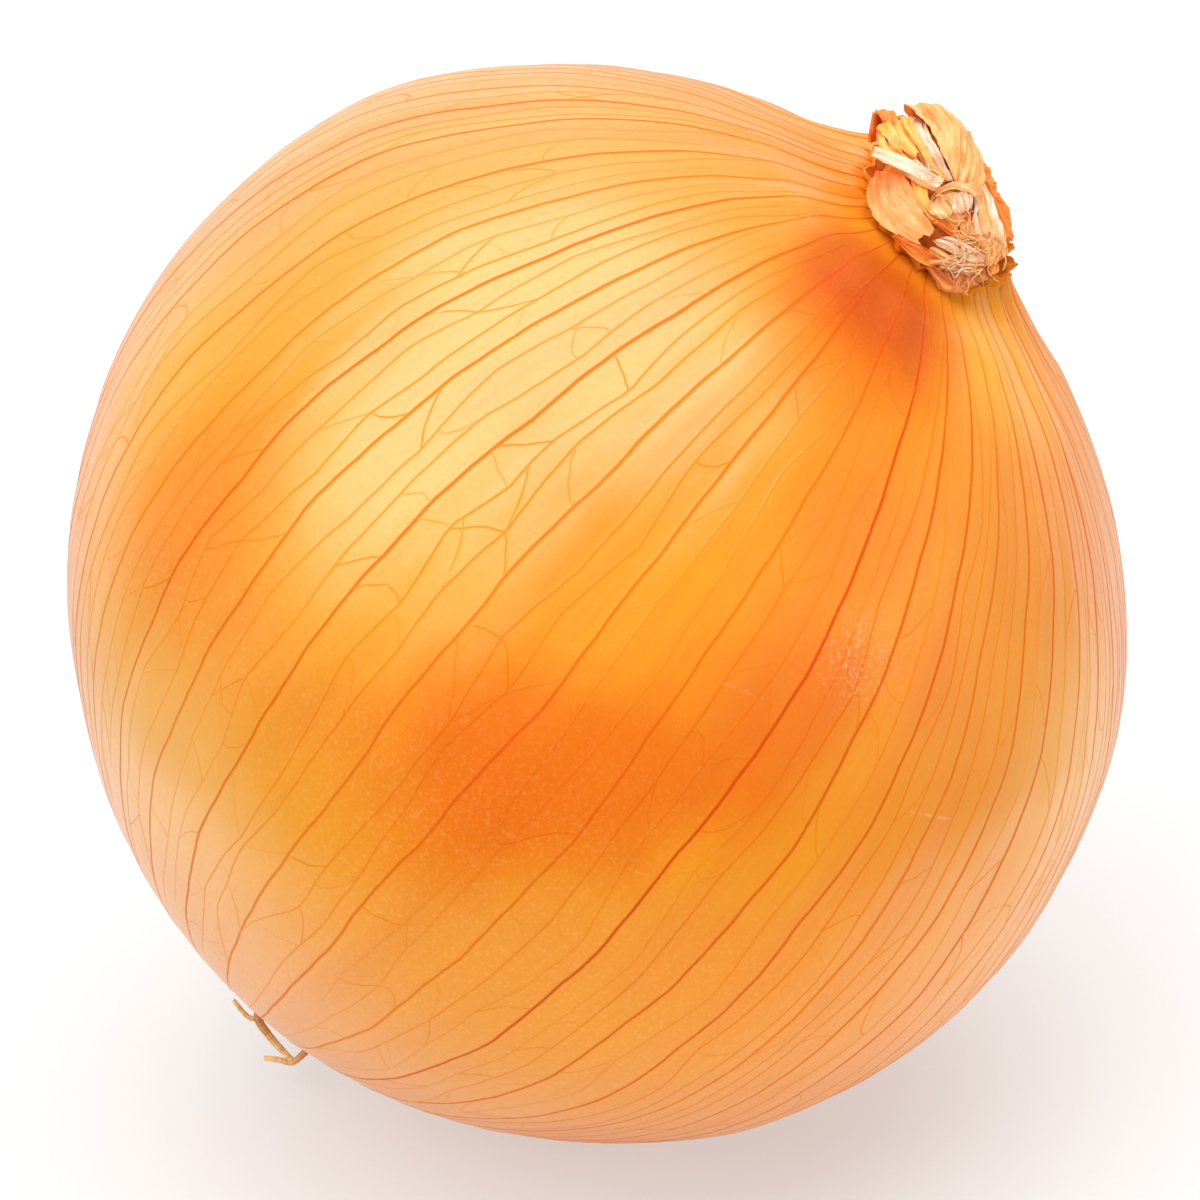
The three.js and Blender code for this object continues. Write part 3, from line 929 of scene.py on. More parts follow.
    def build(self) -> bpy.types.Object:
        """Raises the skin and dresses it.

        Returns:
            The skin.
        """
        rails, rows = self.rails()
        count = max(rows, self.columns + 1)
        points = np.zeros((count, 3))
        points[:, 0] = np.arange(count)
        padded = {name: np.pad(values, (0, count - len(values))) for name, values in rails.items()}
        base = new_piece("onion_skin", points, attributes=padded)
        inputs = {"Columns": self.columns, "Tip": PLACE.mouth_tip, "Lean": PLACE.lean,
                  "Material": SkinFinish().material()}
        skin = self.tree(rows).grown(base, **inputs)
        return dress(skin, "skin", "bulb")


@dataclass(frozen=True)
class VeinLine:
    """One vein as bearings in turns over shares of the skin's length from root to rim."""

    arcs: np.ndarray
    turns: np.ndarray
    rank: VeinRank
    strength: float
    kinks: tuple[float, ...] = ()

    def turn_at(self, arc: float) -> float:
        """Gives the bearing in turns at a share of the length."""
        return float(np.interp(arc, self.arcs, self.turns))


@dataclass
class Veins:
    """The net of veins in the skin: mains from root to neck, seconds between them, and cross links."""

    skin: Skin
    seed: int = 23
    skin_length: float = 131.0
    step: float = 1.25
    main_reach: tuple[float, float] = (0.03, 0.992)
    kink_pitch: tuple[float, float] = (5.0, 11.0)
    kink_reach: tuple[float, float] = (-0.12, 0.12)
    second_start: tuple[float, float] = (0.07, 0.26)
    second_end: tuple[float, float] = (0.86, 0.985)
    lone_second_gap: float = 7.6
    joined_at_root: float = 0.4
    joined_at_neck: float = 0.3
    link_share: float = 0.5
    link_slope: tuple[float, float] = (1.0, 5.5)
    link_step: float = 0.5
    link_jolt: float = 0.14
    narrowest_gap: float = 1.7
    outline_samples: int = 200
    rise: float = 0.02
    sink: float = 0.008
    neck_lift: float = 0.9
    rank_lift: tuple[float, float] = (1.9, 1.5)
    neck_arcs: tuple[float, float] = (0.84, 0.97)
    neck_width: float = 0.5
    root_arcs: tuple[float, float] = (0.08, 0.5)
    root_width: float = 0.6

    def mains(self, draw: random.Random) -> list[VeinLine]:
        """Draws the main veins, each nearly straight from root to neck.

        Args:
            draw: The seeded source of numbers.

        Returns:
            The lines, in order round the bulb.
        """
        lines = []
        for bearing, rank in self.skin.vein_bearings():
            arcs = np.linspace(*self.main_reach, round(self.skin_length / self.step))
            sway = Wobble(draw, 0.5)(arcs) * 0.0016 + Wobble(draw, 0.11)(arcs) * 0.0005
            strength = rank.strength * draw.uniform(0.75, 1.15)
            lines.append(VeinLine(arcs, bearing / TURN + sway, rank, strength))
        return lines

    def seconds(self, left: VeinLine, right: VeinLine, draw: random.Random) -> list[VeinLine]:
        """Draws the finer veins between two mains.

        Args:
            left: The main on one side.
            right: The main on the other.
            draw: The seeded source of numbers.

        Returns:
            One or two lines, in order.
        """
        gap = (right.turn_at(0.5) - left.turn_at(0.5)) * 360
        places = (0.5,) if gap < self.lone_second_gap else (0.35, 0.66)
        lines = []
        for place in places:
            start, end = draw.uniform(*self.second_start), draw.uniform(*self.second_end)
            arcs = np.linspace(start, end, round((end - start) * self.skin_length / self.step))
            knots = np.cumsum([draw.uniform(*self.kink_pitch) / self.skin_length for _ in range(26)])
            kinks = np.interp(arcs, knots, [draw.uniform(*self.kink_reach) for _ in knots])
            share = place + draw.uniform(-0.05, 0.05) + kinks
            if draw.random() < self.joined_at_root:
                share = share + (round(place) - share) * smoothstep(start + 0.09 - arcs, 0.0, 0.09)
            if draw.random() < self.joined_at_neck:
                share = share + (round(place) - share) * smoothstep(arcs - end + 0.12, 0.0, 0.12)
            low, high = (np.interp(arcs, line.arcs, line.turns) for line in (left, right))
            strength = VeinRank.SECOND.strength * draw.uniform(0.6, 1.25)
            joints = tuple(knot for knot in knots if start < knot < end)
            lines.append(VeinLine(arcs, low + (high - low) * share, VeinRank.SECOND, strength, joints))
        return lines

    def links(self, left: VeinLine, right: VeinLine, draw: random.Random) -> list[VeinLine]:
        """Draws the slanting links between two neighbouring lines.

        Args:
            left: The line on one side.
            right: The line on the other.
            draw: The seeded source of numbers.

        Returns:
            The links.
        """
        first = max(left.arcs[0], right.arcs[0])
        last = min(left.arcs[-1], right.arcs[-1])
        radii = spline(self.skin.outline, self.outline_samples)[:, 0]
        joints = [(arc, left, right) for arc in left.kinks] + [(arc, right, left) for arc in right.kinks]
        found = []
        for arc, home, other in joints:
            slope = draw.choice((-1, 1)) * draw.uniform(*self.link_slope) / self.skin_length
            bow = draw.uniform(-1.2, 1.2) / self.skin_length
            radius = radii[min(self.outline_samples - 1, int(arc * self.outline_samples))]
            gap = abs(other.turn_at(arc) - home.turn_at(arc)) * TURN * radius
            strength = VeinRank.LINK.strength * draw.uniform(0.45, 1.4)
            chosen = draw.random() < self.link_share
            inside = first < min(arc, arc + slope) and max(arc, arc + slope) < last
            if not chosen or gap < self.narrowest_gap or not inside:
                continue
            share = np.linspace(0.0, 1.0, max(4, round(gap / self.link_step)))
            jolts = [draw.uniform(-self.link_jolt, self.link_jolt) for _ in share[1:-1]]
            arcs = arc + slope * share + bow * np.sin(share * math.pi)
            arcs[1:-1] += np.array(jolts) / self.skin_length
            ends = home.turn_at(arc), other.turn_at(arc + slope)
            found.append(VeinLine(arcs, ends[0] + (ends[1] - ends[0]) * share, VeinRank.LINK, strength))
        return found

    def net(self) -> list[VeinLine]:
        """Draws the whole net.

        Returns:
            Every line.
        """
        draw = random.Random(self.seed)
        mains = self.mains(draw)
        first = mains[0]
        wrapped = VeinLine(first.arcs, first.turns + 1.0, first.rank, first.strength)
        lines = list(mains)
        for left, right in zip(mains, [*mains[1:], wrapped]):
            between = self.seconds(left, right, draw)
            row = [left, *between, right]
            lines += between
            for one, other in zip(row, row[1:]):
                lines += self.links(one, other, draw)
        return lines

    def tree(self) -> Tree:
        """Builds the rule that lays a low ridge on the skin along each line.

        Returns:
            The tree.
        """
        tree = Tree("vein_ridges")
        rise, sink = tree.given("Rise"), tree.given("Sink")
        read = tree.node("GeometryNodeObjectInfo", values={"Object": tree.given("Skin", "Object")})
        target = read.outputs["Geometry"]
        place = tree.out(tree.node("GeometryNodeInputPosition"))
        turn, arc, _ = tree.parts(place)
        sample = tree.node("GeometryNodeSampleUVSurface", {"data_type": "FLOAT_VECTOR"}, {
            "Mesh": target, "Value": place, "Source UV Map": tree.attribute("skin_map", "FLOAT_VECTOR"),
            "Sample UV": tree.joined(tree.math("FRACT", turn + 4.0), arc, 0.0)})
        laid = tree.placed(tree.out(tree.entry, 0), sample.outputs[0])
        lines = tree.node("GeometryNodeMeshToCurve", values={"Mesh": laid})
        facing = tree.node("GeometryNodeSampleNearestSurface", {"data_type": "FLOAT_VECTOR"}, {
            "Mesh": target, "Value": tree.node("GeometryNodeInputNormal").outputs[0],
            "Sample Position": place})
        lines = tree.node("GeometryNodeSetCurveNormal", {"mode": "FREE"},
                          {"Curve": lines.outputs[0], "Normal": facing.outputs[0]})
        corner = tree.out(tree.node("GeometryNodeInputIndex"))
        crown = tree.math("COMPARE", corner, 1.0, 0.1)
        section = tree.node("GeometryNodeCurvePrimitiveCircle", values={"Resolution": 3, "Radius": 1.0})
        section = tree.stored(section.outputs[0], "crown", crown)
        section = tree.placed(section, tree.joined(crown * 0.05, (corner - 1.0) * 0.5, 0.0))
        ridges = tree.node("GeometryNodeCurveToMesh", values={
            "Curve": lines.outputs[0], "Profile Curve": section, "Scale": tree.attribute("width"),
            "Fill Caps": True})
        nearest = tree.node("GeometryNodeProximity", values={0: target, "Source Position": place})
        crest = tree.attribute("crown")
        height = crest * rise * tree.attribute("lift") - (1.0 - crest) * sink
        raised = tree.vector("ADD", nearest.outputs["Position"], tree.scaled(facing.outputs[0], height))
        ridges = tree.placed(ridges.outputs[0], tree.vector("MAXIMUM", raised, ABOVE_FLOOR))
        ridges = tree.stored(ridges, "vein", tree.attribute("strength") * crest)
        tree.close(ridges)
        return tree

    def build(self, skin: bpy.types.Object) -> bpy.types.Object:
        """Lays the veins on the skin.

        Args:
            skin: The finished skin.

        Returns:
            The veins.
        """
        points, edges, width, strength, lift = [], [], [], [], []
        for line in self.net():
            start = len(points)
            count = len(line.arcs)
            fading = np.sin(np.linspace(0.12, math.pi - 0.12, count)) ** 0.35
            taper = fading if line.rank is VeinRank.SECOND else np.ones(count)
            points += [(turn, arc, 0.0) for turn, arc in zip(line.turns, line.arcs)]
            edges += [(start + step, start + step + 1) for step in range(count - 1)]
            near_neck = smoothstep(line.arcs, *self.neck_arcs)
            from_root = self.root_width + (1.0 - self.root_width) * smoothstep(line.arcs, *self.root_arcs)
            width += list(line.rank.width * MM * from_root * (1.0 - (1.0 - self.neck_width) * near_neck))
            lift += list(self.rank_lift[line.rank is VeinRank.LINK] + self.neck_lift * near_neck)
            strength += list(line.strength * taper)
        base = new_piece("skin_veins", np.array(points), edges,
                         attributes={"width": np.array(width), "strength": np.array(strength),
                                     "lift": np.array(lift)})
        veins = self.tree().grown(base, Skin=skin, Rise=self.rise * MM, Sink=self.sink * MM,
                                  Material=SkinFinish(name="skin_vein", veined=True).material())
        return dress(veins, "skin")


class Tint(Enum):
    """Colours of dry leaf: its own, and the paler one of its worn fibres."""

    TAN = ((0.87, 0.38, 0.105), (0.94, 0.54, 0.22))
    GOLD = ((0.90, 0.39, 0.055), (0.95, 0.53, 0.15))
    PALE = ((0.92, 0.63, 0.43), (0.97, 0.80, 0.68))
    STRAW = ((0.90, 0.50, 0.19), (0.96, 0.68, 0.36))
    ORANGE = ((0.80, 0.20, 0.015), (0.90, 0.36, 0.06))
    BROWN = ((0.74, 0.27, 0.07), (0.88, 0.46, 0.19))
    CORK = ((0.50, 0.30, 0.12), (0.70, 0.50, 0.26))
    ROOT = ((0.46, 0.17, 0.03), (0.84, 0.62, 0.30))

    def worn_by(self, share: np.ndarray) -> np.ndarray:
        """Gives the colour at each share of wear, with a fourth number of 1."""
        own, worn = (np.array([*colour, 1.0]) for colour in self.value)
        return own + (worn - own) * share


@dataclass(frozen=True)
class Leaf:
    """A dry leaf over the neck, between two edges that run from its root to its torn end.

    An edge's points are across and towards in the mouth's frame, and may hold an extra lift.
    """

    left: tuple[tuple[float, ...], ...]
    right: tuple[tuple[float, ...], ...]
    layer: float
    tint: Tint
    ridges: float = 3.0
    ridge_depth: float = 0.1
    torn: float = 0.6
    torn_start: float = 0.0
    ragged: float = 0.06
    paper: float = 0.12
    root_tint: Tint | None = None
    bulge: float = 0.0

    @staticmethod
    def edge(points: tuple[tuple[float, ...], ...]) -> np.ndarray:
        """Gives rows of across, towards and lift along an edge."""
        return spline([(*point, 0.0)[:3] for point in points], EDGE_ROWS)


@dataclass
class Shell:
    """Points and faces of closed shells as they are gathered for one piece."""

    points: list[np.ndarray] = field(default_factory=list)
    faces: list[np.ndarray] = field(default_factory=list)
    colours: list[np.ndarray] = field(default_factory=list)
    fibres: list[np.ndarray] = field(default_factory=list)
    count: int = 0

    def add_sheet(self, top: np.ndarray, bottom: np.ndarray, colours: np.ndarray, fibres: np.ndarray) -> None:
        """Adds a thin closed sheet between two grids of points.

        Args:
            top: The upper points, rows by columns by 3.
            bottom: The lower points, of the same shape.
            colours: A colour of 4 numbers for each grid point.
            fibres: The place among the fibres for each grid point.
        """
        rows, columns = top.shape[:2]
        number = np.arange(rows * columns).reshape(rows, columns) + self.count
        under = number + rows * columns
        upper = np.stack([number[:-1, :-1], number[1:, :-1], number[1:, 1:], number[:-1, 1:]], -1)
        upper = upper.reshape(-1, 4)
        lower = np.stack([under[:-1, :-1], under[:-1, 1:], under[1:, 1:], under[1:, :-1]], -1).reshape(-1, 4)
        rim = np.concatenate([number[0, :-1], number[:-1, -1], number[-1, :0:-1], number[:0:-1, 0]])
        after = np.roll(rim, -1)
        drop = rows * columns
        wall = np.stack([rim, after, after + drop, rim + drop], -1)
        self.points += [top.reshape(-1, 3), bottom.reshape(-1, 3)]
        self.faces += [upper, lower, wall]
        self.colours += [colours.reshape(-1, 4)] * 2
        self.fibres += [fibres.reshape(-1, 3)] * 2
        self.count += 2 * rows * columns

    def piece(self, name: str, material: bpy.types.Material,
              place: Callable[[np.ndarray], np.ndarray]) -> bpy.types.Object:
        """Makes the gathered shells one object.

        Args:
            name: The object's name.
            material: Its material.
            place: What takes its points to the room.

        Returns:
            The object.
        """
        made = new_piece(name, place(np.vstack(self.points)), faces=np.vstack(self.faces),
                         attributes={"tint": np.vstack(self.colours), "fibre": np.vstack(self.fibres)})
        made.data.materials.append(material)
        made.data.shade_smooth()
        made.data.set_sharp_from_angle(angle=SHARP_FROM)
        return made


@dataclass(frozen=True)
class LeafFinish(Finish):
    """Dry, fibrous leaf that lets some light through, coloured by the piece's own tint."""

    name: str = "dry_leaf"
    rough: float = 0.5
    thread_shade: Colour = (0.78, 0.40, 0.16)
    worn_shade: Colour = (0.96, 0.74, 0.50)
    blotch_shade: Colour = (0.95, 0.62, 0.32)

    def material(self) -> bpy.types.Material:
        """Builds the material.

        Returns:
            The material.
        """
        material, sheet, surface = self.start()
        tint = sheet.node("ShaderNodeAttribute", {"attribute_name": "tint"}).outputs["Color"]
        fibre = sheet.node("ShaderNodeAttribute", {"attribute_name": "fibre"}).outputs["Vector"]
        stretched = sheet.vector("MULTIPLY", fibre, (1.0, 0.09, 1.0))
        threads = sheet.noise(stretched, 3.2, 3.0, 0.65)
        fine = sheet.noise(stretched, 8.5, 2.0, 0.6)
        blotch = sheet.noise(sheet.vector("MULTIPLY", fibre, (1.0, 0.5, 1.0)), 0.7, 2.0)
        colour = sheet.blend(sheet.eased(threads, 0.42, 0.68) * 0.7, tint, self.thread_shade, "MULTIPLY")
        colour = sheet.blend(sheet.eased(fine, 0.5, 0.8) * 0.3, colour, self.worn_shade)
        colour = sheet.blend(sheet.eased(blotch, 0.45, 0.75) * 0.4, colour, self.blotch_shade, "MULTIPLY")
        bump = sheet.node("ShaderNodeBump", values={
            "Strength": 0.6, "Distance": 0.00012, "Height": threads * 0.8 + fine * 0.5})
        sheet.feed_all(surface, {
            "Base Color": colour, "Normal": bump.outputs[0], "IOR": 1.38,
            "Roughness": sheet.eased(threads, 0.3, 0.7, self.rough - 0.1, self.rough + 0.12),
            "Subsurface Weight": 0.3, "Subsurface Radius": (1.0, 0.45, 0.2), "Subsurface Scale": 0.35 * MM})
        return material


def strand_tree(name: str, sides: int) -> Tree:
    """Builds the rule that makes a thin round strand along each line.

    Args:
        name: The tree's name.
        sides: How many sides a strand has.

    Returns:
        The tree.
    """
    tree = Tree(name)
    thickness = tree.given("Thickness")
    lines = tree.node("GeometryNodeMeshToCurve", values={"Mesh": tree.out(tree.entry, 0)})
    section = tree.node("GeometryNodeCurvePrimitiveCircle", values={"Resolution": sides, "Radius": 1.0})
    strands = tree.node("GeometryNodeCurveToMesh", values={
        "Curve": lines.outputs[0], "Profile Curve": section.outputs[0],
        "Scale": tree.attribute("thickness") * thickness, "Fill Caps": True})
    tree.close(strands.outputs[0])
    return tree


@dataclass(frozen=True)
class Tuft:
    """Loose fibres that start near one place and lie about one heading, in degrees from across."""

    across: float
    towards: float
    heading: float
    count: int
    tint: Tint
    layer: float = 0.6
    length: float = 3.0
    spread: float = 30.0
    scatter: float = 0.5
    thickness: float = 0.06


@dataclass
class Strands:
    """Lines with their thickness and colour, gathered for one piece of thin round strands."""

    lines: list[np.ndarray] = field(default_factory=list)
    thickness: list[np.ndarray] = field(default_factory=list)
    tints: list[np.ndarray] = field(default_factory=list)

    def add(self, line: np.ndarray, thickness: float, taper: float, tint: Tint) -> None:
        """Adds a strand.

        Args:
            line: Its points, a row each.
            thickness: Its radius at the start.
            taper: The share of the radius that it loses by its end.
            tint: Its colours at the start and the end.
        """
        share = np.linspace(0.0, 1.0, len(line))[:, None]
        self.lines.append(line)
        self.thickness.append(thickness * (1.0 - taper * share[:, 0]))
        self.tints.append(tint.worn_by(share))

    def piece(self, name: str, sides: int, material: bpy.types.Material,
              place: Callable[[np.ndarray], np.ndarray], slot: str, *nodes: str) -> bpy.types.Object:
        """Makes the strands one dressed piece.

        Args:
            name: The piece's name.
            sides: How many sides a strand has.
            material: Its material.
            place: What takes the points to the room.
            slot: The record's slot.
            *nodes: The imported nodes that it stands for.

        Returns:
            The piece.
        """
        ends = np.cumsum([len(line) for line in self.lines])
        edges = [(point, point + 1) for line, end in zip(self.lines, ends)
                 for point in range(end - len(line), end - 1)]
        room = place(np.vstack(self.lines))
        room[:, 2] = np.maximum(room[:, 2], 0.5 * MM)
        along = np.concatenate([np.linspace(0.0, 3.0, len(line)) for line in self.lines])
        number = np.repeat(np.arange(len(self.lines)) * 1.3, [len(line) for line in self.lines])
        base = new_piece(name, room, edges, attributes={
            "thickness": np.concatenate(self.thickness), "tint": np.vstack(self.tints),
            "fibre": np.column_stack([along, number, np.zeros(len(along))])})
        made = strand_tree(name + "_rule", sides).grown(base, Thickness=MM, Material=material)
        return dress(made, slot, *nodes)


@dataclass
class DryNeck:
    """The dried leaves that twist together in the mouth of the neck."""

    seed: int = 41
    core_depth: float = 0.75
    core_radius: float = 6.35
    core_floor: float = -2.2
    station: float = 0.3
    column: float = 0.24
    fibre_reach: float = 7.6
    fibre_points: int = 15
    root_colour_reach: float = 0.45
    leaves: tuple[Leaf, ...] = ()
    tufts: tuple[Tuft, ...] = ()

    @staticmethod
    def dome(across: np.ndarray, towards: np.ndarray) -> np.ndarray:
        """Gives how high the dome of dry leaves stands in the mouth."""
        high = 3.0 - 0.024 * (across ** 2 + towards ** 2) - 0.0005 * np.maximum(towards, 0.0) ** 4
        return np.maximum(high, -1.6)

    def add_leaf(self, shell: Shell, leaf: Leaf, number: int, draw: random.Random) -> None:
        """Lofts one leaf as a thin ridged sheet that follows the dome.

        Args:
            shell: What the sheet is added to.
            leaf: The leaf.
            number: Which leaf it is, which sets its fibres apart.
            draw: The seeded source of numbers.
        """
        left, right = leaf.edge(leaf.left), leaf.edge(leaf.right)
        middle_line = (left + right) / 2
        length = float(np.linalg.norm(np.diff(middle_line[:, :2], axis=0), axis=1).sum())
        half = np.linalg.norm((right - left)[:, :2], axis=1) / 2
        rows = max(9, round(length / self.station))
        columns = max(8, round(2 * half.max() / self.column))
        across = np.linspace(-1.0, 1.0, columns)
        tear, tear_start = (np.array([draw.random() ** 1.5 for _ in across]) for _ in range(2))
        share = np.linspace(0.0, 1.0, rows)[:, None]
        begin = leaf.torn_start * tear_start / length
        reach = begin + (1.0 - leaf.torn * tear / length - begin) * share
        edges = [Wobble(draw, 2.0, 5), Wobble(draw, 2.0, 5)]
        waves, sway = Wobble(draw, 1.1, 4), Wobble(draw, 3.6, 3)
        offset = draw.uniform(0, 50)
        along = reach * length
        fray = np.where(across < 0, edges[0](along), edges[1](along)) * leaf.ragged * np.abs(across)
        part = ((across * (1 + fray) + 1) / 2)[..., None]
        stations = np.linspace(0.0, 1.0, len(left))

        def read(values: np.ndarray) -> np.ndarray:
            """Reads an edge at every grid point."""
            return np.stack([np.interp(reach, stations, values[:, axis]) for axis in range(3)], -1)

        sheet = read(left) * (1 - part) + read(right) * part
        sheet[..., 2] += self.dome(sheet[..., 0], sheet[..., 1]) + leaf.layer
        swelling = (1.0 - (2 * part[..., 0] - 1) ** 2) * np.sin(np.clip(reach, 0.0, 1.0) ** 0.7 * math.pi)
        sheet[..., 2] += leaf.bulge * swelling
        down, sideways = np.gradient(sheet, axis=0), np.gradient(sheet, axis=1)
        out = np.cross(down, sideways)
        out /= np.linalg.norm(out, axis=-1)[..., None] + 1e-9
        lean = (out * (sheet + (0.0, 0.0, 5.0))).sum(-1)
        out = out * (1.0 if lean.mean() > 0 else -1.0)
        widths = np.interp(reach, stations, half)
        ridge = np.cos(across * leaf.ridges * math.pi + 0.5 * sway(along)) * leaf.ridge_depth
        crinkle = waves(across * widths * 2.1 + offset + 0.12 * along) * leaf.ridge_depth * 0.9
        height = ridge + crinkle + 0.1 * sway(along * 1.3 + across * widths * 0.6)
        middle = sheet + out * height[..., None]
        pale = 0.4 + 0.45 * waves(across * widths * 3.0 + offset) + 0.3 * sway(along)
        first = np.array([*(leaf.root_tint or leaf.tint).value[0], 1.0])
        colours = leaf.tint.worn_by(np.clip(pale, 0, 1)[..., None])
        colours = first + (colours - first) * smoothstep(reach, 0.0, self.root_colour_reach)[..., None]
        fibres = np.stack([across * widths + number * 7.3, along, np.full_like(along, number * 1.7)], -1)
        half_paper = out * leaf.paper / 2
        shell.add_sheet(middle + half_paper, middle - half_paper, colours, fibres)

    def add_core(self, shell: Shell, draw: random.Random) -> None:
        """Adds the ridged plug of dry leaf bases under the strips.

        Args:
            shell: What the plug is added to.
            draw: The seeded source of numbers.
        """
        turns = np.linspace(0, TURN, 145)
        mouth = np.array(Skin.mouth_radii) / Skin.mouth_mean
        radii = np.concatenate([np.linspace(0.0, self.core_radius, 30), [self.core_radius * 0.99]])[:, None]
        radii = radii * np.minimum(around(mouth, turns), 1.0)
        folds, slant = Wobble(draw, TURN / 15, 4), Wobble(draw, 5.0)
        crease = folds(turns + 0.12 * slant(radii)) * 0.28 * smoothstep(radii, 0.5, 3.0)
        across, towards = radii * np.cos(turns), radii * np.sin(turns)
        height = np.maximum(self.dome(across, towards) - self.core_depth + crease, self.core_floor + 0.1)
        height[-1] = self.core_floor
        top = np.stack([across, towards, height], -1)
        under = top.copy()
        under[..., 2] = self.core_floor
        colours = Tint.ORANGE.worn_by(np.clip(0.5 + crease * 1.6, 0, 1)[..., None])
        fibres = np.stack([np.broadcast_to(turns * 6, height.shape), radii, np.zeros_like(height)], -1)
        shell.add_sheet(top, under, colours, fibres)

    def build(self) -> list[bpy.types.Object]:
        """Builds the leaves and the loose fibres and dresses them.

        Returns:
            The two pieces.
        """
        draw = random.Random(self.seed)
        shell = Shell()
        self.add_core(shell, draw)
        for number, leaf in enumerate(self.leaves):
            self.add_leaf(shell, leaf, number, draw)
        neck = shell.piece("neck_leaves", LeafFinish().material(), PLACE.from_mouth)
        return [dress(neck, "dry_leaf", "dry_neck"), self.add_fibres(draw)]

    def add_fibres(self, draw: random.Random) -> bpy.types.Object:
        """Adds the loose curly fibres over the knots of the twist.

        Args:
            draw: The seeded source of numbers.

        Returns:
            The fibres as one piece.
        """
        strands = Strands()
        for tuft in self.tufts:
            for _ in range(tuft.count):
                share = np.linspace(0.0, 1.0, self.fibre_points)
                length = tuft.length * draw.uniform(0.5, 1.2)
                heading = math.radians(tuft.heading + draw.uniform(-tuft.spread, tuft.spread))
                turned = heading + 0.9 * Wobble(draw, 3.5)(share * length) + draw.uniform(-0.5, 0.5) * share
                step = length / (self.fibre_points - 1)
                across = tuft.across + draw.gauss(0.0, tuft.scatter) + np.cumsum(np.cos(turned)) * step
                towards = tuft.towards + draw.gauss(0.0, tuft.scatter) + np.cumsum(np.sin(turned)) * step
                across, towards = np.clip((across, towards), -self.fibre_reach, self.fibre_reach)
                rise = tuft.layer + draw.uniform(0.0, 0.25) + 0.18 * Wobble(draw, 2.0)(share * length)
                line = np.column_stack([across, towards, self.dome(across, towards) + rise])
                strands.add(line, tuft.thickness * draw.uniform(0.6, 1.2), 0.6, tuft.tint)
        material = LeafFinish(name="dry_fibre").material()
        return strands.piece("neck_fibres", 4, material, PLACE.from_mouth, "dry_leaf")


